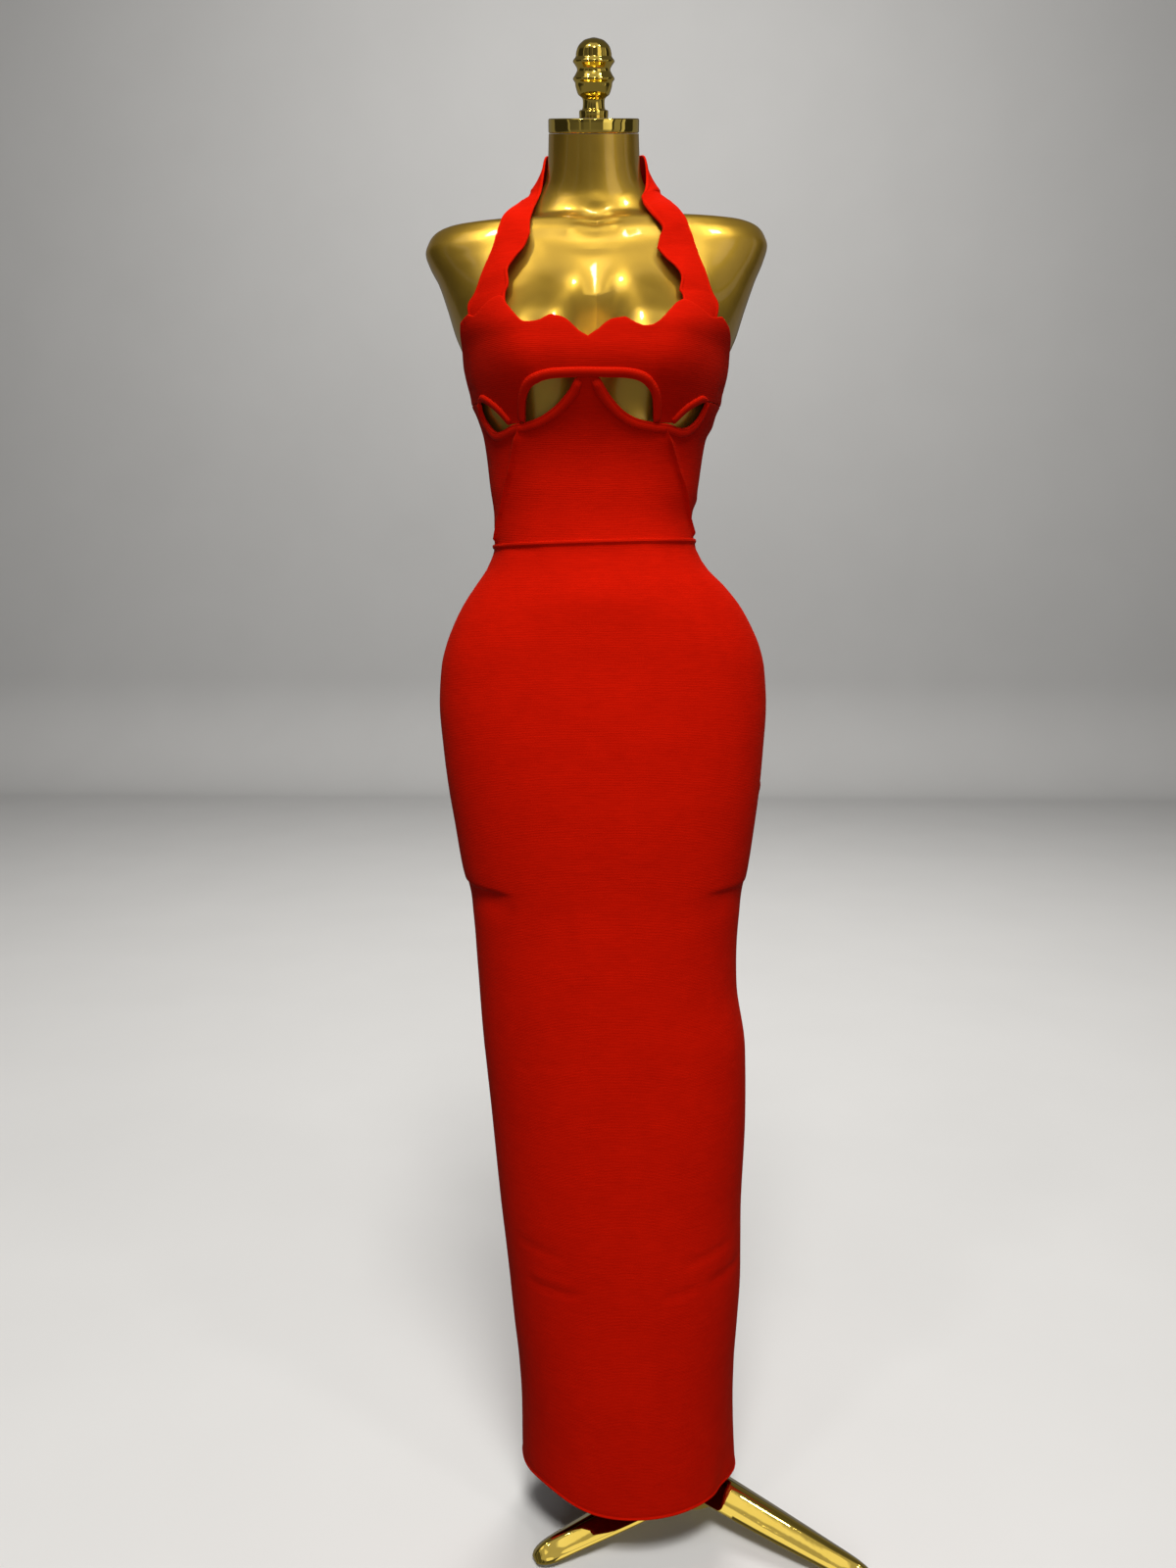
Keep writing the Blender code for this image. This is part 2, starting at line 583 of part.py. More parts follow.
def inside_outline(outline, x, y):
    """Whether a place lies inside a closed outline."""
    inside = False
    for index, (x_1, y_1) in enumerate(outline):
        x_2, y_2 = outline[index - 1]
        if (y_1 > y) != (y_2 > y) and x < (x_2 - x_1) * (y - y_1) / (y_2 - y_1) + x_1:
            inside = not inside
    return inside


def nearest_edge(outline, x, y):
    """Distance from a place to a closed outline."""
    nearest = math.inf
    for index, (x_1, y_1) in enumerate(outline):
        x_2, y_2 = outline[index - 1]
        length_2 = (x_2 - x_1) ** 2 + (y_2 - y_1) ** 2
        share = ((x - x_1) * (x_2 - x_1) + (y - y_1) * (y_2 - y_1)) / max(length_2, 1e-12)
        share = min(max(share, 0.0), 1.0)
        away = math.hypot(x_1 + share * (x_2 - x_1) - x, y_1 + share * (y_2 - y_1) - y)
        nearest = min(nearest, away)
    return nearest


def divided(outline, step, closed=True):
    """The outline with its longer sides divided evenly."""
    result = []
    for index, start in enumerate(outline):
        if not closed and index == len(outline) - 1:
            result.append(start)
            break
        end = outline[(index + 1) % len(outline)]
        parts = max(1, math.ceil(math.hypot(end[0] - start[0], end[1] - start[1]) / step - 1e-6))
        for part in range(parts):
            share = part / parts
            result.append((start[0] + (end[0] - start[0]) * share, start[1] + (end[1] - start[1]) * share))
    return result


def panel(outline, spacing, rails=()):
    """A cloth panel on the dress, from its closed outline in turns and heights.

    The rails are the near and far sides of the bindings that lie on it, so that its faces run
    level with theirs.
    """
    flat = [(turn * TURN_LENGTH, height) for turn, height in outline]
    edge = divided(flat, spacing)
    places = [Vector(place) for place in edge]
    count = len(edge)
    lines = [(index, (index + 1) % count) for index in range(count)]
    kept_clear = []
    for near, far in rails:
        first = len(places)
        for turn, height in near + far:
            places.append(Vector((turn * TURN_LENGTH, height)))
        size = len(near)
        for index in range(size):
            lines.append((first + index, first + size + index))
            if index + 1 < size:
                lines.append((first + size + index, first + size + index + 1))
                lines.append((first + index, first + size + index + 1))
        kept_clear.append([(turn * TURN_LENGTH, height) for turn, height in near + far[::-1]])
    low_x = min(place[0] for place in edge)
    high_x = max(place[0] for place in edge)
    low_y = min(place[1] for place in edge)
    high_y = max(place[1] for place in edge)
    for row in range(1, math.ceil((high_y - low_y) / spacing)):
        shift = 0.5 * spacing * (row % 2)
        for column in range(math.ceil((high_x - low_x) / spacing) + 1):
            x = low_x + shift + column * spacing
            y = low_y + row * spacing
            if not inside_outline(edge, x, y) or nearest_edge(edge, x, y) < 0.45 * spacing:
                continue
            if any(inside_outline(band, x, y) for band in kept_clear):
                continue
            if any(nearest_edge(band, x, y) < 0.3 * spacing for band in kept_clear):
                continue
            places.append(Vector((x, y)))
    flat_points, _, triangles, _, _, _ = delaunay_2d_cdt(places, lines, [], 1, 1e-6)
    outside = [dress_point(x / TURN_LENGTH, y, CLOTH) for x, y in flat_points]
    inside = [dress_point(x / TURN_LENGTH, y, 0.0) for x, y in flat_points]
    back = len(flat_points)
    faces = []
    border = {}
    for triangle in triangles:
        faces.append(tuple(triangle))
        faces.append(tuple(back + index for index in reversed(triangle)))
        for corner in range(3):
            start = triangle[corner]
            end = triangle[(corner + 1) % 3]
            if (end, start) in border:
                del border[(end, start)]
            else:
                border[(start, end)] = True
    for start, end in border:
        faces.append((end, start, back + start, back + end))
    return outside + inside, faces


def far_side(edge, width, side):
    """The other side of a binding that lies to the left (1) or right (-1) of its edge."""
    flat = [Vector((turn * TURN_LENGTH, height)) for turn, height in edge]
    result = []
    for index, place in enumerate(flat):
        before = flat[max(index - 1, 0)]
        after = flat[min(index + 1, len(flat) - 1)]
        along = (after - before).normalized()
        far = place + Vector((-along.y, along.x)) * side * width
        result.append((far.x / TURN_LENGTH, far.y))
    return result


def binding(near, far):
    """A flat binding that lies on the dress between an edge and the binding's other side."""
    low = CLOTH + SEAM_GAP
    high = low + BINDING_THICK
    points = []
    for (near_turn, near_height), (far_turn, far_height) in zip(near, far):
        points += [
            dress_point(near_turn, near_height, low),
            dress_point(far_turn, far_height, low),
            dress_point(far_turn, far_height, high),
            dress_point(near_turn, near_height, high),
        ]
    faces = [(0, 1, 2, 3), tuple(len(points) - step for step in (1, 2, 3, 4))]
    for start in range(0, len(points) - 4, 4):
        after = start + 4
        faces += [(start, start + 1, after + 1), (start, after + 1, after)]
        faces += [(start + 3, after + 2, start + 2), (start + 3, after + 3, after + 2)]
        faces += [(start + 1, start + 2, after + 2, after + 1), (start, after, after + 3, start + 3)]
    return points, faces


def row_of_strap(row):
    outer = Vector((row.outer_x, row.outer_y, row.outer_z))
    inner = Vector((row.inner_x, row.inner_y, row.inner_z))
    return outer, inner, row.crown


def behind_cup(place):
    """A place just inside the cup, below the given one."""
    height = place.z - STRAP_ROOT
    turn = turn_at(place.x, height)
    return dress_point(turn, height, -STRAP_BEHIND - CLOTH / 2)


def strap(rows):
    """A halter strap as a wall between its two edges, with its lower end behind the cup."""
    edges = [row_of_strap(row) for row in rows]
    edges.insert(0, (behind_cup(edges[0][0]), behind_cup(edges[0][1]), rows[0].crown))
    outside = []
    inside = []
    for index, (outer, inner, crown) in enumerate(edges):
        before = edges[max(index - 1, 0)]
        after = edges[min(index + 1, len(edges) - 1)]
        along = (after[0] + after[1] - before[0] - before[1]).normalized()
        normal = along.cross(inner - outer).normalized()
        middle = (outer + inner) / 2
        if normal.dot(Vector((middle.x, middle.y, 0.0))) < 0:
            normal.negate()
        crowned = middle + normal * crown
        outside.append([place + normal * CLOTH / 2 for place in (outer, crowned, inner)])
        inside.append([place - normal * CLOTH / 2 for place in (outer, crowned, inner)])
    return wall_from_grid(outside, inside)


# ---- The pieces ----

def shifted(edge, turns):
    """An edge moved around the body, to part two panels at their seam."""
    return [(turn + turns, height) for turn, height in edge]


def lowered(edge, by):
    return [(turn, height - by) for turn, height in edge]


def in_steps(edge):
    """An open edge of turns and heights, in steps short enough to lie close to the body."""
    flat = [(turn * TURN_LENGTH, height) for turn, height in edge]
    return [(x / TURN_LENGTH, height) for x, height in divided(flat, SEAM_STEP, closed=False)]


def waist_edge(start, end):
    """The bodice's edge along the waist seam between two turns."""
    steps = max(2, round(abs(end - start) / 15))
    turns = [start + (end - start) * step / steps for step in range(steps + 1)]
    return [(turn, waist_height(turn) + SEAM_GAP / 2) for turn in turns]


def add_bodice(parent):
    """The panels above the waist and the bindings that lie on their edges."""
    part = SEAM_TURN
    gap = SEAM_GAP
    arch = in_steps(on_front(ARCH))
    arch_far = far_side(arch, BINDING_WIDTH, 1)
    leaf_minus = in_steps(on_front(LEAF_TOP_MINUS_X))
    leaf_minus_far = far_side(leaf_minus, LEAF_BINDING_WIDTH, 1)
    leaf_plus = in_steps(on_front(LEAF_TOP_PLUS_X))
    leaf_plus_far = far_side(leaf_plus, LEAF_BINDING_WIDTH, 1)
    leaf_low = in_steps(on_front(LEAF_LOW_MINUS_X))
    seam_minus = len(leaf_low) - 1
    under_minus = lowered(leaf_low[:-1] + in_steps(on_front(MIDRIFF_TOP_MINUS_X)), gap)
    under_minus_far = far_side(under_minus, BINDING_WIDTH, -1)
    under_minus_far[0] = (under_minus[0][0] - BINDING_WIDTH / TURN_LENGTH, under_minus[0][1] - gap)
    under_plus = in_steps(on_front(MIDRIFF_TOP_PLUS_X))
    seam_plus = len(under_plus) - 1
    under_plus = lowered(under_plus + in_steps(on_front(LEAF_LOW_PLUS_X))[1:], gap)
    under_plus_far = far_side(under_plus, BINDING_WIDTH, -1)
    under_plus_far[-1] = (under_plus[-1][0] + BINDING_WIDTH / TURN_LENGTH, under_plus[-1][1] - gap)

    under_cup_minus = in_steps([(-90 + part, SIDE_SEAM_CUP), leaf_minus[0]])
    under_cup_plus = in_steps([leaf_plus[-1], (90 - part, SIDE_SEAM_CUP)])

    bust = on_front(NECKLINE) + ARMHOLE_PLUS_X[:-1] + [(90 - part, ARMHOLE_PLUS_X[-1][1])]
    bust += under_cup_plus[::-1] + leaf_plus[-2::-1] + arch[::-1] + leaf_minus[:0:-1]
    bust += under_cup_minus[::-1] + [(-90 + part, ARMHOLE_MINUS_X[0][1])] + ARMHOLE_MINUS_X[1:]
    rails = [(arch, arch_far), (leaf_minus, leaf_minus_far), (leaf_plus, leaf_plus_far)]
    make_cloth("bust_panel", *panel(bust, 0.0150, rails), RED, parent)

    princess_minus = [under_minus[seam_minus], under_minus_far[seam_minus]]
    princess_minus += on_front(PRINCESS_MINUS_X)
    princess_plus = [under_plus[seam_plus], under_plus_far[seam_plus]]
    princess_plus += on_front(PRINCESS_PLUS_X)

    left = shifted(princess_minus, part)
    right = shifted(princess_plus, -part)
    near_left = [left[0]] + under_minus[seam_minus + 1:]
    near_right = under_plus[:seam_plus] + [right[0]]
    outline = near_left + lowered(on_front(MIDRIFF_TAB), gap) + near_right
    outline += right[1:-1] + waist_edge(right[-1][0], left[-1][0]) + left[1:-1][::-1]
    rails = [
        (near_left, [left[1]] + under_minus_far[seam_minus + 1:]),
        (near_right, under_plus_far[:seam_plus] + [right[1]]),
    ]
    make_cloth("midriff_front", *panel(outline, 0.0170, rails), RED, parent)

    left = shifted(princess_minus, -part)
    near = under_minus[:seam_minus] + [left[0]]
    outline = lowered(under_cup_minus[:-1], gap) + near
    outline += left[1:-1] + waist_edge(left[-1][0], -90 + part)
    rails = [(near, under_minus_far[:seam_minus] + [left[1]])]
    make_cloth("side_front_right", *panel(outline, 0.0170, rails), RED, parent)

    right = shifted(princess_plus, part)
    near = [right[0]] + under_plus[seam_plus + 1:]
    outline = near + lowered(under_cup_plus[1:], gap)
    outline += waist_edge(90 - part, right[-1][0]) + right[1:-1][::-1]
    rails = [(near, [right[1]] + under_plus_far[seam_plus + 1:])]
    make_cloth("side_front_left", *panel(outline, 0.0170, rails), RED, parent)

    outline = [(90 + part, BACK_TOP[0][1])] + BACK_TOP[1:-1] + [(270 - part, BACK_TOP[-1][1])]
    outline += waist_edge(270 - part, 90 + part)
    make_cloth("back_bodice", *panel(outline, 0.0200), RED, parent)

    make_cloth("binding_arch", *binding(arch, arch_far), RED_BINDING, parent)
    make_cloth("binding_leaf_right", *binding(leaf_minus, leaf_minus_far), RED_BINDING, parent)
    make_cloth("binding_leaf_left", *binding(leaf_plus, leaf_plus_far), RED_BINDING, parent)
    make_cloth("binding_under_right", *binding(under_minus, under_minus_far), RED_BINDING, parent)
    make_cloth("binding_under_left", *binding(under_plus, under_plus_far), RED_BINDING, parent)


def add_skirt(parent):
    heights = [row.height for row in SKIRT_SECTIONS[1:] + FORM_SECTIONS]
    heights = [height for height in heights if 0.08 < height < WAIST_SEAM - 0.01 and height != FORM_EDGE]
    for name, start in (("skirt_front", -90.0), ("skirt_back", 90.0)):
        grids = []
        for out in (CLOTH, 0.0):
            grid = []
            for level in [None] + heights + [WAIST_SEAM]:
                row = []
                for side in range(SKIRT_SIDES + 1):
                    turn = start + SEAM_TURN + (180 - 2 * SEAM_TURN) * side / SKIRT_SIDES
                    height = level
                    if level is None:
                        height = hem_height(turn)
                    elif level == WAIST_SEAM:
                        height = waist_height(turn) - SEAM_GAP / 2
                    row.append(dress_point(turn, height, out))
                grid.append(row)
            grids.append(grid)
        make_cloth(name, *wall_from_grid(*grids), RED, parent)


def form_ring(height, inset):
    return [form_point(side * 360 / FORM_SIDES - 180, height, -inset) for side in range(FORM_SIDES)]


def add_form(parent):
    rings = []
    for step in range(3):
        angle = step * math.pi / 6
        inset = FORM_EDGE_ROUND * (1 - math.sin(angle))
        rings.append(form_ring(FORM_EDGE + FORM_EDGE_ROUND * (1 - math.cos(angle)), inset))
    heights = [row.height for row in FORM_SECTIONS[1:]] + BUST_LEVELS
    for height in sorted(heights):
        rings.append(form_ring(height, 0.0))
    make_gold("dress_form", *loft(rings), parent, GOLD, 0.24)

    low = SEAM_GAP
    high = low + DISC_THICK
    edge = DISC_EDGE
    profile = [
        (DISC_RADIUS - edge, low), (DISC_RADIUS, low + edge),
        (DISC_RADIUS, high - edge), (DISC_RADIUS - edge, high),
    ]
    points, faces = turned(profile, 0.0, 0.0, 32)
    make_gold("neck_disc", on_neck(points), faces, parent)
    profile = [(radius, high + SEAM_GAP + height) for radius, height in FINIAL]
    points, faces = turned(profile, 0.0, 0.0, 20)
    make_gold("finial", on_neck(points), faces, parent)


def leg(direction, length):
    """A tapered bar with a rounded ridge, from the hub to its turned-down foot."""
    along = Vector((math.cos(math.radians(direction)), math.sin(math.radians(direction)), 0.0))
    across = Vector((-along.y, along.x, 0.0))
    stretch = (length - LEG_ROWS[0].along) / (LEG_ROWS[-1].along - LEG_ROWS[0].along)
    rings = []
    for row in LEG_ROWS:
        distance = LEG_ROWS[0].along + (row.along - LEG_ROWS[0].along) * stretch
        foot = Vector((STAND_X, STAND_Y, 0.0)) + along * distance
        crown = row.ridge - (row.ridge - row.edge) * 0.14
        outline = [
            (-row.half_width * 0.8, row.under), (row.half_width * 0.8, row.under),
            (row.half_width, row.edge), (row.half_width * 0.16, crown), (0.0, row.ridge),
            (-row.half_width * 0.16, crown), (-row.half_width, row.edge),
        ]
        rings.append([foot + across * sideways + Vector((0, 0, height)) for sideways, height in outline])
    return loft(rings)


def add_stand(parent):
    top = FORM_EDGE - SEAM_GAP
    pole = [(POLE_RADIUS, HUB_TOP + SEAM_GAP), (POLE_RADIUS, top)]
    make_gold("pole", *turned(pole, STAND_X, STAND_Y, 24), parent)
    socket = tube(POLE_RADIUS + SEAM_GAP, SOCKET_RADIUS, top - SOCKET_HEIGHT, top, STAND_X, STAND_Y, 24)
    make_gold("pole_socket", *socket, parent)
    hub = [
        (HUB_RADIUS - HUB_EDGE, HUB_BOTTOM), (HUB_RADIUS, HUB_BOTTOM + HUB_EDGE),
        (HUB_RADIUS, HUB_TOP - HUB_EDGE), (HUB_RADIUS - HUB_EDGE, HUB_TOP),
    ]
    make_gold("base_hub", *turned(hub, STAND_X, STAND_Y, 24), parent)
    for name, (direction, length) in LEGS.items():
        make_gold("leg_" + name, *leg(direction, length), parent)
        reach = length - PAD_BEFORE_TIP
        x = STAND_X + reach * math.cos(math.radians(direction))
        y = STAND_Y + reach * math.sin(math.radians(direction))
        profile = [(PAD_RADIUS, 0.0), (PAD_RADIUS, PAD_THICK)]
        make_solid("foot_pad_" + name, *turned(profile, x, y, 16), CLEAR_PAD, 0.4, 0.0, parent)


def stand_on_origin(parent):
    """Move everything so that the middle of its footprint is at the origin, on the floor."""
    corners = [vertex.co for item in parent.children for vertex in item.data.vertices]
    for axis in (0, 1):
        places = [corner[axis] for corner in corners]
        parent.location[axis] = -(min(places) + max(places)) / 2


def main():
    for item in list(bpy.data.objects):
        bpy.data.objects.remove(item, do_unlink=True)
    parent = bpy.data.objects.new("dress_and_form", None)
    bpy.context.collection.objects.link(parent)
    add_form(parent)
    add_stand(parent)
    add_skirt(parent)
    add_bodice(parent)
    make_cloth("strap_right", *strap(STRAP_MINUS_X), RED, parent)
    make_cloth("strap_left", *strap(STRAP_PLUS_X), RED, parent)
    stand_on_origin(parent)


main()
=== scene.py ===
"""Looks of a halter bodycon dress in red bandage knit on its gold limbless dress form and stand."""

import logging
import math
from collections.abc import Iterable, Mapping, Sequence
from dataclasses import dataclass, field
from enum import Enum

import bmesh
import bpy
import numpy as np
from mathutils import Euler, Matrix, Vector
from mathutils.geometry import delaunay_2d_cdt


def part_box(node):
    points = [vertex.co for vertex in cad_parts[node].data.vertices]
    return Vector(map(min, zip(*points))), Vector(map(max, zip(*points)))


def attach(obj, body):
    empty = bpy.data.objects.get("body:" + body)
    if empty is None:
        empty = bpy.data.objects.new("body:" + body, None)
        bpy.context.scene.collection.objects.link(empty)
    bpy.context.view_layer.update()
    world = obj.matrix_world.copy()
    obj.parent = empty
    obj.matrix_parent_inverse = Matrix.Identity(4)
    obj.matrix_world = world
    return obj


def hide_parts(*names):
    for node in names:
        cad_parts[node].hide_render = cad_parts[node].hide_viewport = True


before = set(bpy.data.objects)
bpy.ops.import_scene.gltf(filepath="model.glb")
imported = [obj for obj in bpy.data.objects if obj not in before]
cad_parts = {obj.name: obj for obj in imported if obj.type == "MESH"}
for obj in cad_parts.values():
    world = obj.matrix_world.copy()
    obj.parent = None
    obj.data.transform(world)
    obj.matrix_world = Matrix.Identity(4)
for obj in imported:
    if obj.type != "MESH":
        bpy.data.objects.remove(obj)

LOG = logging.getLogger("dress")
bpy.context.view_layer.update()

Pair = tuple[float, float]
Triple = tuple[float, float, float]
Rows = Sequence[Sequence[float]]

# ---- Shared sizes of the body, in metres ----

CLOTH = 0.0020
EASE = 0.0013
SEAM_GAP = 0.0003
# Reach of the painted highlight that lightens the knit along each piece's edge.
EDGE_HIGHLIGHT_REACH = 0.0013
EDGE_ROWS = (0.0, 0.00012, 0.00045, 0.0010)
TURN_LENGTH = 0.0021
SEAM_TURN = 0.12
SEAM_PART = SEAM_TURN * TURN_LENGTH
SIDE_PLACE = 90 * TURN_LENGTH - SEAM_PART
WAIST_SEAM = 1.1460
WAIST_TILT = 0.0035
FORM_EDGE = 0.764
NECK_BEND = 1.4900
NECK_TOP = 1.5608
NECK_Y = 0.0050
NECK_LEAN = 0.3463
SHOULDER_START = 1.4000
SHOULDER_RISE = 0.0260
NECK_RISE = 0.0065
NECK_DIP = 0.0105
STAND_X = 0.1250
STAND_Y = -0.0150

# Level sections: height, sideways middle, half width, depth in front, depth behind, squareness.
FORM_ROWS: Rows = (
    (0.764, 0.0150, 0.1530, 0.0930, 0.1180, 2.15),
    (0.792, 0.0138, 0.1580, 0.0945, 0.1260, 2.15),
    (0.837, 0.0130, 0.1645, 0.0965, 0.1365, 2.15),
    (0.882, 0.0118, 0.1705, 0.0975, 0.1430, 2.15),
    (0.926, 0.0107, 0.1745, 0.0970, 0.1460, 2.15),
    (0.970, 0.0100, 0.1772, 0.0950, 0.1420, 2.12),
    (1.013, 0.0097, 0.1743, 0.0930, 0.1300, 2.10),
    (1.035, 0.0096, 0.1690, 0.0920, 0.1210, 2.10),
    (1.056, 0.0090, 0.1605, 0.0900, 0.1110, 2.10),
    (1.078, 0.0082, 0.1488, 0.0870, 0.1000, 2.10),
    (1.099, 0.0066, 0.1335, 0.0830, 0.0890, 2.10),
    (1.120, 0.0030, 0.1160, 0.0785, 0.0790, 2.10),
    (1.141, 0.0005, 0.1062, 0.0750, 0.0715, 2.10),
    (1.172, -0.0020, 0.1036, 0.0730, 0.0675, 2.10),
    (1.204, -0.0010, 0.1085, 0.0755, 0.0700, 2.10),
    (1.255, -0.0005, 0.1155, 0.0820, 0.0810, 2.12),
    (1.286, 0.0005, 0.1264, 0.0860, 0.0875, 2.15),
    (1.316, 0.0005, 0.1350, 0.0890, 0.0920, 2.20),
    (1.340, 0.0000, 0.1400, 0.0900, 0.0940, 2.30),
    (1.360, 0.0000, 0.1480, 0.0870, 0.0945, 2.45),
    (1.386, 0.0000, 0.1560, 0.0800, 0.0935, 2.65),
    (1.416, 0.0000, 0.1665, 0.0705, 0.0910, 2.80),
    (1.433, 0.0000, 0.1745, 0.0650, 0.0880, 2.85),
    (1.447, 0.0000, 0.1785, 0.0610, 0.0850, 2.85),
    (1.457, 0.0000, 0.1755, 0.0580, 0.0820, 2.75),
    (1.4640, 0.0000, 0.1710, 0.0550, 0.0790, 2.65),
    (1.4690, 0.0000, 0.1630, 0.0528, 0.0760, 2.60),
    (1.4700, 0.0000, 0.1600, 0.0520, 0.0750, 2.58),
    (1.4720, 0.0000, 0.1490, 0.0482, 0.0730, 2.50),
    (1.4740, 0.0000, 0.1220, 0.0464, 0.0700, 2.20),
    (1.4760, -0.0005, 0.0980, 0.0454, 0.0660, 1.90),
    (1.4820, -0.0012, 0.0868, 0.0440, 0.0620, 1.75),
    (1.4920, -0.0018, 0.0732, 0.0430, 0.0580, 1.70),
    (1.5050, -0.0022, 0.0595, 0.0422, 0.0545, 1.80),
    (1.5180, -0.0026, 0.0505, 0.0418, 0.0525, 1.95),
    (1.5320, -0.0030, 0.0478, 0.0415, 0.0515, 2.00),
    (1.5608, -0.0034, 0.0462, 0.0412, 0.0512, 2.00),
)
SKIRT_ROWS: Rows = (
    (0.030, 0.0478, 0.1268, 0.1110, 0.1030, 2.10),
    (0.085, 0.0460, 0.1258, 0.1100, 0.1030, 2.10),
    (0.137, 0.0449, 0.1252, 0.1085, 0.1030, 2.10),
    (0.189, 0.0434, 0.1268, 0.1070, 0.1035, 2.10),
    (0.240, 0.0420, 0.1308, 0.1055, 0.1040, 2.10),
    (0.291, 0.0408, 0.1345, 0.1040, 0.1050, 2.10),
    (0.341, 0.0380, 0.1368, 0.1025, 0.1060, 2.10),
    (0.390, 0.0350, 0.1392, 0.1010, 0.1075, 2.10),
    (0.488, 0.0318, 0.1450, 0.0985, 0.1110, 2.10),
    (0.560, 0.0276, 0.1478, 0.0965, 0.1135, 2.10),
    (0.584, 0.0258, 0.1484, 0.0960, 0.1145, 2.10),
    (0.654, 0.0178, 0.1454, 0.0948, 0.1170, 2.10),
    (0.700, 0.0158, 0.1464, 0.0942, 0.1188, 2.12),
    (0.747, 0.0152, 0.1500, 0.0940, 0.1215, 2.14),
)
NECKLINE_ROWS: Rows = (
    (1.360, 0.0000, 0.1498, 0.0950, 0.0962, 2.45),
    (1.395, 0.0000, 0.1630, 0.0890, 0.0950, 2.65),
)


class SectionTable:
    """Smooth level sections between the rows of a table."""

    def __init__(self, rows: Rows) -> None:
        """Keep the rows and work out slopes that never overshoot them.

        Args:
            rows: height and values of each section, lowest first.
        """
        table = np.array(rows, float)
        self.heights = table[:, 0]
        self.values = table[:, 1:]
        steps = np.diff(self.heights)[:, None]
        chords = np.diff(self.values, axis=0) / steps
        before, after = chords[:-1], chords[1:]
        weight_before = 2 * steps[1:] + steps[:-1]
        weight_after = steps[1:] + 2 * steps[:-1]
        turning = before * after <= 0
        safe_before = np.where(turning, 1.0, before)
        safe_after = np.where(turning, 1.0, after)
        inner = (weight_before + weight_after) / (weight_before / safe_before + weight_after / safe_after)
        self.slopes = np.vstack([chords[:1], np.where(turning, 0.0, inner), chords[-1:]])

    def at(self, heights: np.ndarray) -> np.ndarray:
        """Section columns at each height.

        Args:
            heights: heights in metres.

        Returns:
            One row of five values for each height.
        """
        clamped = np.clip(heights, self.heights[0], self.heights[-1])
        low = np.clip(np.searchsorted(self.heights, clamped, side="left") - 1, 0, len(self.heights) - 2)
        step = (self.heights[low + 1] - self.heights[low])[:, None]
        share = (clamped - self.heights[low])[:, None] / step
        cube, square = share ** 3, share ** 2
        return (
            (2 * cube - 3 * square + 1) * self.values[low]
            + (cube - 2 * square + share) * step * self.slopes[low]
            + (3 * square - 2 * cube) * self.values[low + 1]
            + (cube - square) * step * self.slopes[low + 1]
        )


def smooth_step(share: np.ndarray) -> np.ndarray:
    """Smooth rise from 0 to 1."""
    held = np.clip(share, 0.0, 1.0)
    return held * held * (3 - 2 * held)


def level_ring(sections: np.ndarray, turns: np.ndarray, heights: np.ndarray) -> np.ndarray:
    """Points of level rings.

    Args:
        sections: section columns, one row a point.
        turns: degrees around the body, 0 at the centre front and 90 at +X.
        heights: heights in metres.

    Returns:
        Points, one row each.
    """
    across, ahead = np.sin(np.radians(turns)), np.cos(np.radians(turns))
    power = 2.0 / sections[:, 4]
    depth = np.where(ahead > 0, sections[:, 2], sections[:, 3])
    x = sections[:, 0] + np.sign(across) * sections[:, 1] * np.abs(across) ** power
    y = -np.sign(ahead) * depth * np.abs(ahead) ** power
    return np.column_stack([x, y, heights])


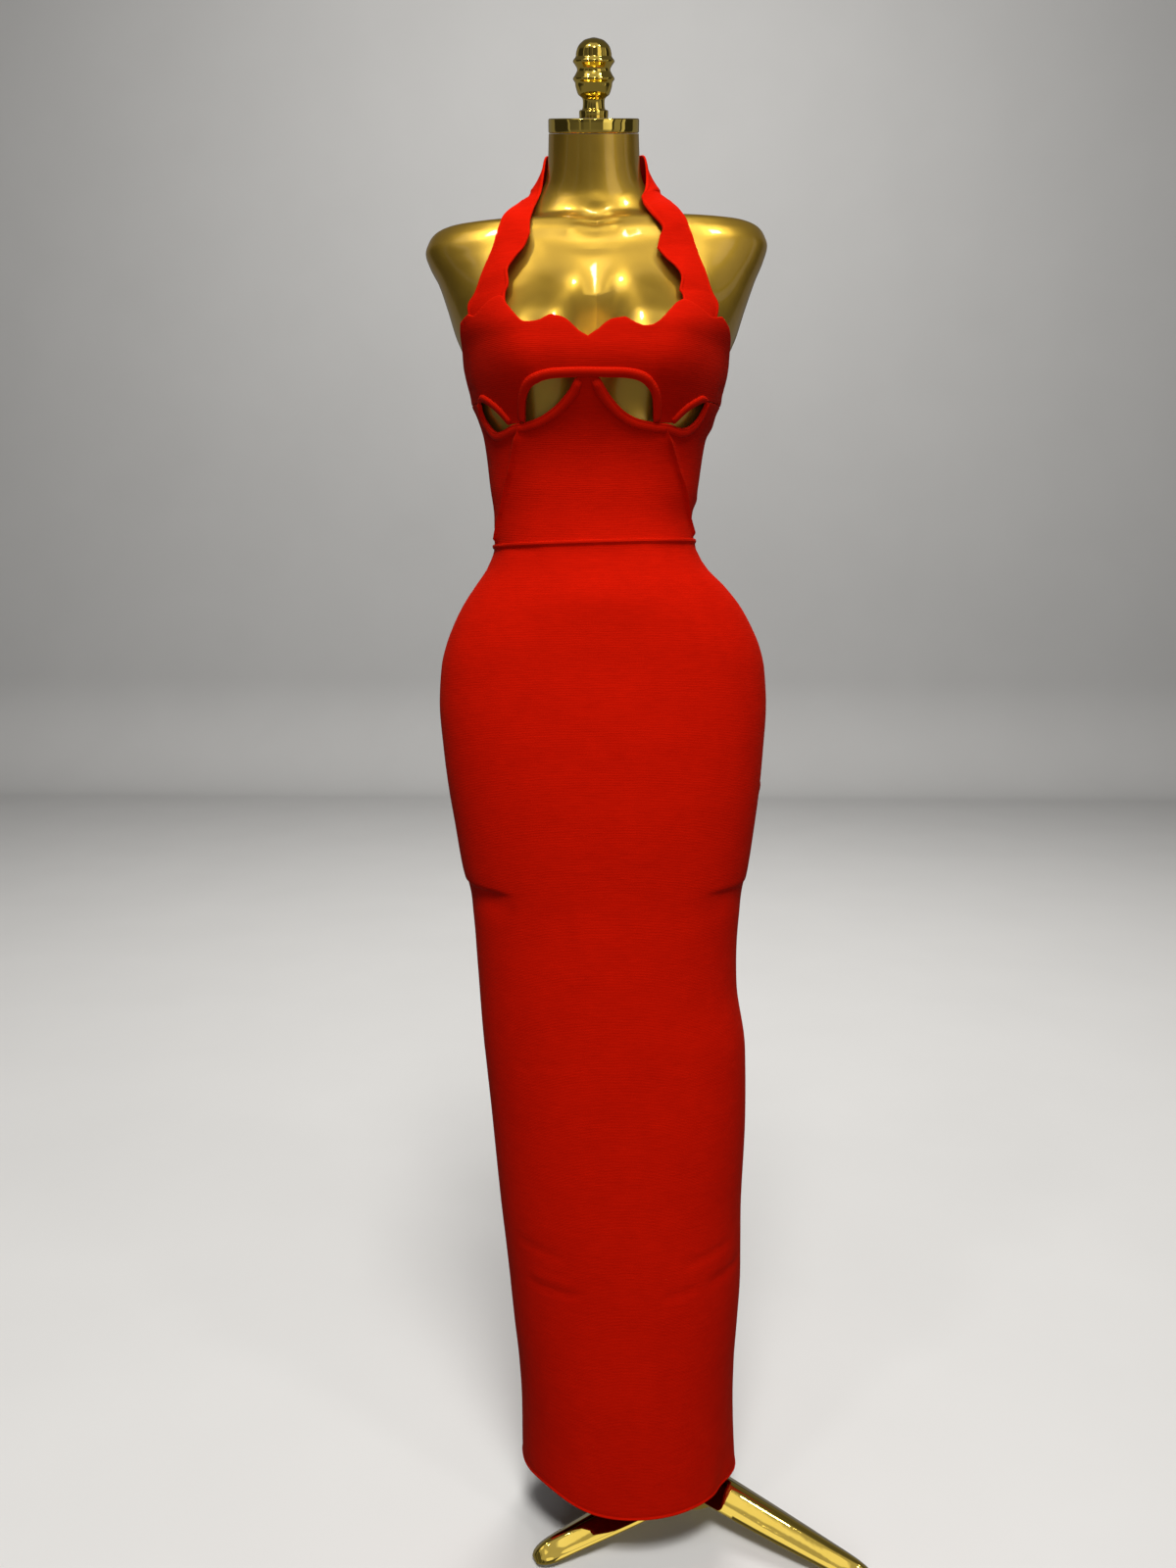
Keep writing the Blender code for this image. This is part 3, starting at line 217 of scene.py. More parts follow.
@dataclass(frozen=True)
class Bust:
    """Rise of the bust in front of the chest wall."""

    height: float = 1.3300
    spread: float = 0.0740
    rise: float = 0.0370
    width: float = 0.0480
    above: float = 0.0560
    below_form: float = 0.0300
    below_dress: float = 0.0560
    bridge: float = 0.86
    # The form alone: width towards the middle, and share and width of the cleft there.
    inner_width: float = 0.0600
    cleft: Pair = (0.72, 0.0150)
    # The valley's depth, half width and bluntness, and where it gets shallower.
    valley: Triple = (0.0170, 0.0470, 0.0032)
    valley_heights: Pair = (1.3000, 1.4400)
    shallower: Pair = (0.40, 1.3890)
    # Rise, sideways place and width of the fullness above each side.
    fullness: Triple = (0.0024, 0.0460, 0.0200)
    fullness_heights: Pair = (1.3560, 1.4180)

    def fade_out(self, turns: np.ndarray) -> np.ndarray:
        """Share of the rise left towards the side of the body."""
        return smooth_step(np.cos(np.radians(turns)) / 0.45)

    def under_cloth(self, turns: np.ndarray, x: np.ndarray, heights: np.ndarray) -> np.ndarray:
        """Rise of the cloth, which bridges the two sides.

        Args:
            turns: angle of each point about the body, in degrees from the front.
            x: sideways place of each point.
            heights: height of each point.

        Returns:
            Forward rise at each point.
        """
        fade = np.where(heights > self.height, self.above, self.below_dress)
        level = np.exp(-(((heights - self.height) / fade) ** 2))
        share = np.exp(-(((np.abs(x) - self.spread) / self.width) ** 2))
        share = np.where(np.abs(x) < self.spread, np.maximum(share, self.bridge), share)
        return self.rise * level * share * self.fade_out(turns)

    def on_form(self, turns: np.ndarray, x: np.ndarray, heights: np.ndarray) -> np.ndarray:
        """Rise of the form itself, with its narrow valley.

        Args:
            turns: angle of each point about the body, in degrees from the front.
            x: sideways place of each point.
            heights: height of each point.

        Returns:
            Forward rise at each point.
        """
        fade = np.where(heights > self.height, self.above, self.below_form)
        level = np.exp(-(((heights - self.height) / fade) ** 2))
        share = np.exp(-(((np.abs(x) - self.spread) / self.width) ** 2))
        cleft, cleft_width = self.cleft
        inner = np.exp(-(((np.abs(x) - self.spread) / self.inner_width) ** 2))
        inner = inner * (1 - cleft * np.exp(-((x / cleft_width) ** 2)))
        share = np.where(np.abs(x) < self.spread, inner, share)
        depth, half, blunt = self.valley
        low, high = self.valley_heights
        deep = smooth_step((high - heights) / 0.0840) * smooth_step((heights - low) / 0.0300)
        deep = deep * (1 - self.shallower[0] * smooth_step((self.shallower[1] - heights) / 0.0460))
        valley = depth * deep * np.maximum(0.0, 1 - np.hypot(x, blunt) / half) ** 2
        swell, place, width = self.fullness
        low, high = self.fullness_heights
        full = swell * smooth_step((high - heights) / 0.0420) * smooth_step((heights - low) / 0.0160)
        full = full * np.exp(-(((np.abs(x) - place) / width) ** 2))
        return (self.rise * level * share + full - valley) * self.fade_out(turns)


class Fade(Enum):
    """How a crease runs out along its length."""

    BOTH_ENDS = "both"
    FAR_END = "far"


@dataclass(frozen=True)
class Crease:
    """A soft trough in the cloth along a line, or a ridge where its depth is negative."""

    start: Pair
    end: Pair
    width: float
    depth: float
    fade: Fade = Fade.BOTH_ENDS
    width_below: float = 0.0

    def depth_at(self, turns: np.ndarray, heights: np.ndarray) -> np.ndarray:
        """Inward depth at each place of the cloth.

        Args:
            turns: angle of each point about the body, in degrees from the front.
            heights: height of each point.

        Returns:
            Depth at each point.
        """
        start_x, start_z = self.start[0] * TURN_LENGTH, self.start[1]
        run_x, run_z = self.end[0] * TURN_LENGTH - start_x, self.end[1] - start_z
        offset_x = turns * TURN_LENGTH - start_x
        offset_z = heights - start_z
        length = math.hypot(run_x, run_z)
        along = (offset_x * run_x + offset_z * run_z) / length ** 2
        away = (offset_x * run_z - offset_z * run_x) / length
        if self.fade is Fade.BOTH_ENDS:
            run = smooth_step(along / 0.3) * smooth_step((1 - along) / 0.3)
        else:
            run = smooth_step((along + 0.12) / 0.12) * smooth_step(1 - along)
        below = away * np.sign(run_x) > 0
        width = np.where(below, self.width_below or self.width, self.width)
        return self.depth * run * np.exp(-((away / width) ** 2))


@dataclass(frozen=True)
class Hollow:
    """A broad dip in the cloth, or a swelling where its depth is negative."""

    place: Pair
    half_width: float
    half_height: float
    depth: float

    def depth_at(self, turns: np.ndarray, heights: np.ndarray) -> np.ndarray:
        """Inward depth at each place of the cloth.

        Args:
            turns: angle of each point about the body, in degrees from the front.
            heights: height of each point.

        Returns:
            Depth at each point.
        """
        across = (turns - self.place[0]) * TURN_LENGTH / self.half_width
        up = (heights - self.place[1]) / self.half_height
        return self.depth * np.exp(-(across ** 2) - up ** 2)


@dataclass(frozen=True)
class Fold:
    """A fold that runs up the hanging skirt from its hem."""

    turn: float
    width: float
    depth: float
    high: float

    def depth_at(self, turns: np.ndarray, heights: np.ndarray) -> np.ndarray:
        """Inward depth at each place of the skirt.

        Args:
            turns: angle of each point about the body, in degrees from the front.
            heights: height of each point.

        Returns:
            Depth at each point.
        """
        along = np.clip(heights / self.high, 0.0, 1.0)
        apart = (turns - self.turn + 180) % 360 - 180
        return self.depth * np.cos(along * math.pi / 2) ** 2 * np.exp(-((apart / self.width) ** 2))


FOLDS = (
    Fold(58.0, 7.0, 0.0060, 0.120),
    Fold(76.0, 8.0, -0.0035, 0.150),
    Fold(-118.0, 12.0, 0.0045, 0.260),
    Fold(140.0, 12.0, 0.0050, 0.300),
)
CREASES = (
    # The cloth steps in under the lower edge of the form.
    Crease((-95.0, 0.7712), (-36.0, 0.7685), 0.0040, 0.0040, width_below=0.0200),
    Crease((95.0, 0.7720), (38.0, 0.7700), 0.0045, 0.0024, width_below=0.0200),
    Crease((270.0, 0.7710), (212.0, 0.7690), 0.0045, 0.0030, width_below=0.0220),
    Crease((90.0, 0.7715), (142.0, 0.7695), 0.0045, 0.0028, width_below=0.0220),
    # A narrow turned strip beside the armhole.
    Crease((-58.3, 1.3630), (-64.9, 1.3360), 0.0014, 0.0007, Fade.FAR_END),
    Crease((-62.5, 1.3440), (-84.0, 1.2830), 0.0014, 0.0007),
    # Drag lines low on the skirt.
    Crease((-56.0, 0.3230), (-14.0, 0.3195), 0.0045, 0.0012),
    Crease((-52.0, 0.3320), (-20.0, 0.3290), 0.0060, -0.0006),
    Crease((-62.0, 0.3690), (-24.0, 0.3610), 0.0045, 0.0009),
    Crease((78.0, 0.3330), (36.0, 0.3250), 0.0050, 0.0016),
    Crease((38.0, 0.3250), (14.0, 0.3195), 0.0040, 0.0010),
    Crease((66.0, 0.3660), (22.0, 0.3530), 0.0050, 0.0011),
    Crease((150.0, 0.3400), (196.0, 0.3260), 0.0060, 0.0014),
    Crease((214.0, 0.3900), (250.0, 0.3740), 0.0060, 0.0011),
    Crease((118.0, 0.4300), (150.0, 0.4180), 0.0070, 0.0010),
    # A line pressed across the skirt, with two short breaks in it.
    Crease((-62.0, 0.5730), (-10.0, 0.5895), 0.0016, 0.0005),
    Crease((-10.0, 0.5895), (36.0, 0.5850), 0.0016, 0.0005),
    Crease((-11.5, 0.5950), (-11.0, 0.5800), 0.0016, 0.0005),
    Crease((18.0, 0.5960), (27.0, 0.5820), 0.0018, 0.0005),
    # The skirt's top turns out below the waist seam.
    Crease((-66.0, 1.1430), (-24.0, 1.1330), 0.0050, 0.0009),
    Crease((-30.0, 1.1335), (30.0, 1.1345), 0.0050, 0.0011),
    Crease((24.0, 1.1340), (70.0, 1.1460), 0.0050, 0.0009),
    # Pulls at the sides of the cups and across the small of the back.
    Crease((-86.0, 1.3060), (-66.0, 1.3000), 0.0035, 0.0010),
    Crease((-88.0, 1.2980), (-70.0, 1.2935), 0.0030, 0.0009),
    Crease((88.0, 1.3080), (68.0, 1.3010), 0.0035, 0.0010),
    Crease((88.0, 1.2550), (66.0, 1.2480), 0.0040, 0.0009),
    Crease((-88.0, 1.2330), (-72.0, 1.2260), 0.0040, 0.0008),
    Crease((150.0, 1.1850), (206.0, 1.1830), 0.0050, 0.0012),
    Crease((138.0, 1.2040), (184.0, 1.1990), 0.0060, 0.0010),
    Crease((186.0, 1.2180), (226.0, 1.2130), 0.0060, 0.0009),
    Crease((140.0, 1.1240), (220.0, 1.1220), 0.0060, 0.0012),
)
HOLLOWS = (
    Hollow((0.0, 1.0860), 0.0560, 0.0240, -0.0034),
    Hollow((-4.0, 1.0180), 0.0480, 0.0240, 0.0012),
    Hollow((90.0, 0.8810), 0.0060, 0.0060, -0.0022),
    Hollow((88.0, 1.2700), 0.0070, 0.0080, -0.0018),
    Hollow((89.0, 1.2930), 0.0060, 0.0070, -0.0016),
    Hollow((88.0, 1.1930), 0.0080, 0.0070, -0.0016),
    Hollow((-88.0, 1.2900), 0.0060, 0.0070, -0.0014),
)


class Body:
    """The form's surface and the cloth's, from one set of sections."""

    def __init__(self) -> None:
        """Join the section rows of the hanging and the worn part of the dress."""
        self.bust = Bust()
        self.form = SectionTable(FORM_ROWS)
        ease = np.array([0.0, 0.0, EASE, EASE, EASE, 0.0])
        worn = [np.array(row) + ease for row in FORM_ROWS if 0.78 < row[0] < 1.35]
        self.dress = SectionTable([*SKIRT_ROWS, *worn, *NECKLINE_ROWS])
        pole_low, pole_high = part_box("pole")
        self.shift = np.array([
            (pole_low.x + pole_high.x) / 2 - STAND_X,
            (pole_low.y + pole_high.y) / 2 - STAND_Y,
            0.0,
        ])

    def inner_face(self, turns: np.ndarray, heights: np.ndarray) -> np.ndarray:
        """Plain inner face of the dress, before creases.

        Args:
            turns: angle of each point about the body, in degrees from the front.
            heights: height of each point.

        Returns:
            Points in the row frame.
        """
        wrapped = (turns + 180) % 360 - 180
        points = level_ring(self.dress.at(heights), wrapped, heights)
        points[:, 1] -= self.bust.under_cloth(wrapped, points[:, 0], heights)
        return points

    def cloth(self, turns: np.ndarray, heights: np.ndarray, out: np.ndarray | float) -> np.ndarray:
        """Points of the cloth in the row frame.

        Args:
            turns: degrees around the body.
            heights: heights in metres.
            out: distance out of the inner face.

        Returns:
            Points, one row each.
        """
        around = self.inner_face(turns + 0.6, heights) - self.inner_face(turns - 0.6, heights)
        upwards = self.inner_face(turns, heights + 0.0015) - self.inner_face(turns, heights - 0.0015)
        normal = np.cross(around, upwards)
        normal /= np.linalg.norm(normal, axis=1)[:, None]
        wrapped = (turns + 180) % 360 - 180
        depth = np.zeros(len(turns))
        for relief in (*FOLDS, *CREASES, *HOLLOWS):
            for lap in (0.0, 360.0) if not isinstance(relief, Fold) else (0.0,):
                depth += relief.depth_at(wrapped + lap, heights)
        return self.inner_face(turns, heights) + normal * (out - depth)[:, None] + self.shift

    def turn_at(self, x: np.ndarray, heights: np.ndarray) -> np.ndarray:
        """Turn at which the front of the dress passes a sideways place.

        Args:
            x: sideways place of each point.
            heights: height of each point.

        Returns:
            Turns in degrees.
        """
        sections = self.dress.at(heights)
        across = x - sections[:, 0]
        share = np.clip(np.abs(across) / sections[:, 1], 0.0, 1.0)
        return np.sign(across) * np.degrees(np.arcsin(share ** (sections[:, 4] / 2)))

    def form_surface(self, turns: np.ndarray, heights: np.ndarray, inset: float = 0.0) -> np.ndarray:
        """Points of the form in the row frame, with its collarbones.

        Args:
            turns: angle of each point about the body, in degrees from the front.
            heights: height of each point.
            inset: how far inside the surface the points lie.

        Returns:
            Points in the row frame.
        """
        sections = self.form.at(heights)
        sections[:, 1:4] -= inset
        points = level_ring(sections, turns, heights)
        ahead = smooth_step(np.cos(np.radians(turns)) / 0.3)
        dip = neck_dip(points[:, 0], heights)
        lowered = self.form.at(heights + dip)[:, 2] - self.form.at(heights)[:, 2]
        points[:, 1] -= self.bust.on_form(turns, points[:, 0], heights)
        points[:, 1] -= (collarbones(points[:, 0], heights) + lowered) * ahead
        return posed(points) + self.shift


def neck_dip(x: np.ndarray, heights: np.ndarray) -> np.ndarray:
    """How much lower the foot of the neck comes near its middle, where it dips to a soft point.

    Args:
        x: sideways place of each point.
        heights: height of each point.

    Returns:
        Drop of the surface at each point.
    """
    shape = smooth_step(1 - np.hypot(x, 0.0030) / 0.0230)
    level = smooth_step((heights - 1.4450) / 0.0100) * smooth_step((NECK_BEND - heights) / 0.0120)
    return NECK_DIP * shape * level


def posed(points: np.ndarray) -> np.ndarray:
    """Points of upright rings, moved to where the neck leans and one shoulder is higher.

    Args:
        points: points on level rings, one row each.

    Returns:
        The same points on the leaning form.
    """
    length = NECK_TOP - NECK_BEND
    share = np.clip((points[:, 2] - NECK_BEND) / length, 0.0, 1.0)
    forward = NECK_LEAN * length * (share ** 2 - share ** 3 / 3)
    angle = np.arctan(NECK_LEAN * share * (2 - share))
    rise = SHOULDER_RISE * smooth_step((points[:, 2] - SHOULDER_START) / 0.05)
    rise = rise - (SHOULDER_RISE - NECK_RISE) * smooth_step((points[:, 2] - 1.475) / 0.04)
    behind = points[:, 1] - NECK_Y
    return np.column_stack([
        points[:, 0],
        NECK_Y - forward + behind * np.cos(angle),
        points[:, 2] + behind * np.sin(angle) + points[:, 0] * rise,
    ])


def collarbones(x: np.ndarray, heights: np.ndarray) -> np.ndarray:
    """Low relief of a general pair of collarbones and the shallow channel between them.

    Args:
        x: sideways place of each point.
        heights: height of each point.

    Returns:
        Outward rise at each point.
    """
    side = np.abs(x)
    line = 1.4585 + (side - 0.016) * 0.080
    along = smooth_step((side - 0.008) / 0.012) * smooth_step((0.125 - side) / 0.06)
    ridge = 0.0007 * along * np.exp(-(((heights - line) / 0.0070) ** 2))
    hollow = 0.0009 * along * np.exp(-(((heights - line + 0.0170) / 0.0095) ** 2))
    head = 0.0014 * np.exp(-(((side - 0.0185) / 0.0065) ** 2) - ((heights - 1.4560) / 0.0110) ** 2)
    half = 0.0075 + 0.0050 * smooth_step((heights - 1.4330) / 0.0300)
    channel = smooth_step((half + 0.0032 - side) / 0.0060) * smooth_step((heights - 1.4290) / 0.0060)
    return ridge + head - hollow - 0.0024 * channel * smooth_step((1.4700 - heights) / 0.0100)


BODY = Body()

# ---- Shading ----


class Socket:
    """A shader value that ordinary arithmetic works on."""

    def __init__(self, graph: "Graph", output: bpy.types.NodeSocket) -> None:
        """Keep the graph and the output socket."""
        self.graph = graph
        self.output = output

    def __add__(self, other: "Socket | float") -> "Socket":
        """Sum of two values."""
        return self.graph.maths("ADD", self, other)

    def __radd__(self, other: "Socket | float") -> "Socket":
        """Sum with this value on the right."""
        return self.graph.maths("ADD", other, self)

    def __sub__(self, other: "Socket | float") -> "Socket":
        """Difference of two values."""
        return self.graph.maths("SUBTRACT", self, other)

    def __rsub__(self, other: "Socket | float") -> "Socket":
        """Difference with this value on the right."""
        return self.graph.maths("SUBTRACT", other, self)

    def __mul__(self, other: "Socket | float") -> "Socket":
        """Product of two values."""
        return self.graph.maths("MULTIPLY", self, other)

    def __rmul__(self, other: "Socket | float") -> "Socket":
        """Product with this value on the right."""
        return self.graph.maths("MULTIPLY", other, self)

    def __truediv__(self, other: "Socket | float") -> "Socket":
        """Quotient of two values."""
        return self.graph.maths("DIVIDE", self, other)

    def sine(self) -> "Socket":
        """Sine of a value."""
        return self.graph.maths("SINE", self)

    def held(self) -> "Socket":
        """Value held between 0 and 1."""
        return self.graph.maths("MINIMUM", self.graph.maths("MAXIMUM", self, 0.0), 1.0)


Setting = Socket | float | Sequence[float]


class Graph:
    """Node tree of one material or of the world."""

    def __init__(self, tree: bpy.types.NodeTree) -> None:
        """Start from an empty tree."""
        self.tree = tree
        tree.nodes.clear()

    def node(
        self, kind: str, settings: Mapping[str, object] | None = None,
        inputs: Mapping[str | int, Setting] | None = None,
    ) -> bpy.types.Node:
        """Add a node.

        Args:
            kind: Blender's name of the node type.
            settings: properties to set.
            inputs: socket names or numbers, with a value or a Socket to link.

        Returns:
            The node.
        """
        made = self.tree.nodes.new(kind)
        for name, value in (settings or {}).items():
            setattr(made, name, value)
        for name, value in (inputs or {}).items():
            if isinstance(value, Socket):
                self.tree.links.new(value.output, made.inputs[name])
            else:
                made.inputs[name].default_value = value
        return made

    def maths(self, operation: str, *values: Socket | float) -> Socket:
        """One Math node.

        Args:
            operation: its operation.
            values: numbers or sockets.

        Returns:
            Its value.
        """
        made = self.node("ShaderNodeMath", {"operation": operation}, dict(enumerate(values)))
        return Socket(self, made.outputs[0])

    def ramp(self, value: Socket, low: float, high: float) -> Socket:
        """Smooth 0 to 1 as a value goes from low to high.

        Args:
            value: the value.
            low: where the result is 0.
            high: where the result is 1.

        Returns:
            The result.
        """
        made = self.node(
            "ShaderNodeMapRange", {"interpolation_type": "SMOOTHSTEP"},
            {"Value": value, "From Min": low, "From Max": high},
        )
        return Socket(self, made.outputs[0])

    def mix(self, share: Socket | float, first: Setting, second: Setting) -> Socket:
        """Mix of two colours."""
        made = self.node("ShaderNodeMix", {"data_type": "RGBA"}, {0: share, 6: first, 7: second})
        return Socket(self, made.outputs[2])

    def noise(self, place: Socket, scale: float, detail: float = 2.0, roughness: float = 0.5) -> Socket:
        """Noise between 0 and 1 at a place.

        Args:
            place: where the noise is read.
            scale: features per metre.
            detail: number of finer layers.
            roughness: strength of the finer layers.

        Returns:
            The noise.
        """
        made = self.node(
            "ShaderNodeTexNoise", {"noise_dimensions": "3D"},
            {"Vector": place, "Scale": scale, "Detail": detail, "Roughness": roughness},
        )
        return Socket(self, made.outputs[0])

    def object_place(self) -> Socket:
        """Place in the object's own coordinates, in metres."""
        return Socket(self, self.node("ShaderNodeTexCoord").outputs["Object"])

    def stretched(self, place: Socket, scale: Triple) -> Socket:
        """A place scaled by its own amount along each axis."""
        node = self.node("ShaderNodeVectorMath", {"operation": "MULTIPLY"}, {0: place, 1: scale})
        return Socket(self, node.outputs[0])

    def parts(self, place: Socket) -> tuple[Socket, Socket, Socket]:
        """The three coordinates of a place."""
        made = self.node("ShaderNodeSeparateXYZ", inputs={0: place})
        return tuple(Socket(self, output) for output in made.outputs)

    def cloth_place(self) -> tuple[Socket, Socket]:
        """Across and along the cloth, in metres.

        Returns:
            The two places.
        """
        made = self.node("ShaderNodeUVMap", {"uv_map": "cloth"})
        across, along, _ = self.parts(Socket(self, made.outputs[0]))
        return across, along

    def number(self, name: str) -> Socket:
        """A number kept at each vertex."""
        made = self.node("ShaderNodeAttribute", {"attribute_name": name})
        return Socket(self, made.outputs["Fac"])

    def bump(self, height: Socket, distance: float, strength: float = 1.0) -> Socket:
        """Normal bent by a height.

        Args:
            height: the height, in its own unit.
            distance: metres of one unit.
            strength: share of the bend that is kept.

        Returns:
            The bent normal.
        """
        settings = {"Strength": strength, "Distance": distance, "Height": height}
        made = self.node("ShaderNodeBump", inputs=settings)
        return Socket(self, made.outputs[0])

    def surface(self, inputs: Mapping[str | int, Setting]) -> None:
        """Finish a material with its principled shader.

        Args:
            inputs: values and sockets by the name of the input.
        """
        shader = self.node("ShaderNodeBsdfPrincipled", inputs=inputs)
        end = self.node("ShaderNodeOutputMaterial")
        self.tree.links.new(shader.outputs[0], end.inputs[0])


def material_graph(name: str) -> tuple[bpy.types.Material, Graph]:
    """A new material and its empty graph.

    Args:
        name: name of the material.

    Returns:
        The material and its graph.
    """
    material = bpy.data.materials.new(name)
    material.use_nodes = True
    return material, Graph(material.node_tree)


def rgb(red: float, green: float, blue: float) -> tuple[float, float, float, float]:
    """A solid colour."""
    return (red, green, blue, 1.0)


@dataclass(frozen=True)
class Finish:
    """A surface finish: its material's name and the slot it stands for."""

    name: str
    slot: str = ""


@dataclass(frozen=True)
class KnitFinish(Finish):
    """Red bandage knit with fine level ribs of short stitches."""

    name: str = "red_bandage_knit"
    slot: str = "knit"
    lit: Triple = (0.680, 0.0085, 0.0008)
    deep: Triple = (0.350, 0.0028, 0.0003)
    rib_pitch: float = 0.00170
    stitch_pitch: float = 0.00115
    relief: float = 0.00022
    roughness: float = 0.84
    sheen: float = 0.05

    def material(self) -> bpy.types.Material:
        """The finished material.

        Returns:
            The material.
        """
        made, graph = material_graph(self.name)
        place = graph.object_place()
        across, along = graph.cloth_place()
        drift = (graph.noise(place, 60.0, 2.0) - 0.5) * 0.0016
        rib_phase = (along + drift) * (2 * math.pi / self.rib_pitch)
        rib = rib_phase.sine() * 0.5 + 0.5
        stagger = (rib_phase * 0.5).sine() * 1.6
        stitch = ((across + drift) * (2 * math.pi / self.stitch_pitch) + stagger).sine() * 0.5 + 0.5
        fibre = graph.noise(place, 1500.0, 3.0, 0.65)
        cloud = graph.noise(place, 9.0, 3.0, 0.55)
        patch = graph.noise(place, 46.0, 3.0, 0.6)
        rim = graph.number("rim")
        streak = graph.noise(graph.stretched(place, (60.0, 60.0, 520.0)), 1.0, 3.0, 0.6)
        # The lit and deep colours are mixed mostly by random noise. The ribs and stitches also take part,
        # which paints shade into their grooves and light onto their crests.
        tone = rib * 0.08 + stitch * 0.06 + fibre * 0.36 + streak * 0.46 + cloud * 0.30 + patch * 0.26 - 0.24
        colour = graph.mix(tone.held(), rgb(*self.deep), rgb(*self.lit))
        # Painted highlight: the knit turns a lighter red near each piece's edge, as if its lips and hems
        # caught the light.
        colour = graph.mix((rim * 0.35).held(), colour, rgb(0.74, 0.014, 0.0020))
        height = rib * 0.24 + stitch * rib * 0.20 + fibre * 0.50 + streak * 0.85
        graph.surface({
            "Base Color": colour,
            "Roughness": self.roughness - 0.10 * patch,
            "Normal": graph.bump(height, self.relief),
            "Sheen Weight": self.sheen,
            "Sheen Roughness": 0.42,
            "Sheen Tint": rgb(1.0, 0.12, 0.04),
            "Specular IOR Level": 0.16,
            "Specular Tint": rgb(1.0, 0.40, 0.25),
        })
        return made


@dataclass(frozen=True)
class BindingFinish(Finish):
    """Plain red knit binding with a line of stitches near its inner side."""

    name: str = "red_knit_binding"
    slot: str = "binding"
    lit: Triple = (0.660, 0.0095, 0.0010)
    deep: Triple = (0.420, 0.0036, 0.0004)
    cord_pitch: float = 0.00150
    loop_pitch: float = 0.00115
    stitch_pitch: float = 0.00260
    stitch_line: float = 0.0068
    thread_width: float = 0.0006
    relief: float = 0.00022

    def material(self) -> bpy.types.Material:
        """The finished material.

        Returns:
            The material.
        """
        made, graph = material_graph(self.name)
        place = graph.object_place()
        across, along = graph.cloth_place()
        wales = (across * (2 * math.pi / self.cord_pitch)).sine() * 0.5 + 0.5
        courses = along * (2 * math.pi / self.loop_pitch)
        stagger = (across * (math.pi / self.cord_pitch)).sine()
        loops = (courses + stagger).sine() * 0.5 + 0.5
        fibre = graph.noise(place, 1500.0, 3.0, 0.65)
        patch = graph.noise(place, 40.0, 2.0)
        from_line = graph.maths("ABSOLUTE", across - self.stitch_line)
        on_line = (1.0 - from_line / self.thread_width).held()
        stitches = (along * (2 * math.pi / self.stitch_pitch)).sine()
        thread = on_line * graph.ramp(stitches, -0.35, 0.25)
        # The lit and deep colours are mixed mostly by noise. The wales and loops also take part, which paints
        # shade into the grooves between them.
        tone = wales * 0.16 + loops * 0.12 + fibre * 0.30 + patch * 0.66 - 0.02
        colour = graph.mix(tone.held(), rgb(*self.deep), rgb(*self.lit))
        colour = graph.mix((thread * 0.22).held(), colour, rgb(0.74, 0.040, 0.015))
        height = wales * 0.45 + loops * 0.30 + fibre * 0.40 - on_line * 1.2 + thread * 1.1
        graph.surface({
            "Base Color": colour,
            "Roughness": 0.72 - 0.08 * patch,
            "Normal": graph.bump(height, self.relief),
            "Sheen Weight": 0.05,
            "Sheen Roughness": 0.40,
            "Sheen Tint": rgb(1.0, 0.14, 0.05),
            "Specular IOR Level": 0.18,
            "Specular Tint": rgb(1.0, 0.40, 0.25),
        })
        return made


@dataclass(frozen=True)
class LacquerFinish(Finish):
    """Satin champagne gold under a clear gloss coat."""

    name: str = "champagne_gold_lacquer"
    slot: str = "form_lacquer"
    light: Triple = (0.800, 0.530, 0.085)
    dark: Triple = (0.560, 0.345, 0.030)
    roughness: float = 0.32
    coat_roughness: float = 0.05

    def material(self) -> bpy.types.Material:
        """The finished material.

        Returns:
            The material.
        """
        made, graph = material_graph(self.name)
        place = graph.object_place()
        flake = graph.noise(place, 2600.0, 2.0, 0.7)
        cloud = graph.noise(place, 7.0, 3.0)
        orange_peel = graph.noise(place, 190.0, 2.0)
        waves = graph.noise(place, 34.0, 1.0)
        handling = graph.ramp(graph.noise(place, 34.0, 4.0, 0.7), 0.56, 0.80)
        tone = (flake * 0.55 + cloud * 0.55 - 0.05).held()
        colour = graph.mix(tone, rgb(*self.dark), rgb(*self.light))
        graph.surface({
            "Base Color": colour,
            "Metallic": 0.86 + 0.10 * flake,
            "Roughness": self.roughness + 0.07 * flake + 0.05 * handling,
            "Normal": graph.bump(orange_peel * 0.8 + flake * 0.10 + waves * 14.0, 0.00006),
            "Coat Weight": 0.70 - 0.20 * handling,
            "Coat Roughness": self.coat_roughness,
            "Coat Tint": rgb(1.0, 0.93, 0.74),
        })
        return made


@dataclass(frozen=True)
class PolishedGoldFinish(Finish):
    """Mirror-polished gold plating."""

    name: str = "mirror_gold_plating"
    slot: str = "polished_gold"
    light: Triple = (0.930, 0.690, 0.150)
    dark: Triple = (0.820, 0.570, 0.085)
    roughness: float = 0.030

    def material(self) -> bpy.types.Material:
        """The finished material.

        Returns:
            The material.
        """
        made, graph = material_graph(self.name)
        place = graph.object_place()
        cloud = graph.noise(place, 22.0, 3.0)
        smear = graph.ramp(graph.noise(place, 60.0, 4.0, 0.7), 0.50, 0.80)
        fine = graph.noise(place, 900.0, 2.0)
        colour = graph.mix(cloud, rgb(*self.dark), rgb(*self.light))
        graph.surface({
            "Base Color": colour,
            "Metallic": 1.0,
            "Roughness": self.roughness + 0.07 * smear + 0.01 * fine,
            "Normal": graph.bump(graph.noise(place, 45.0, 2.0), 0.00010),
        })
        return made


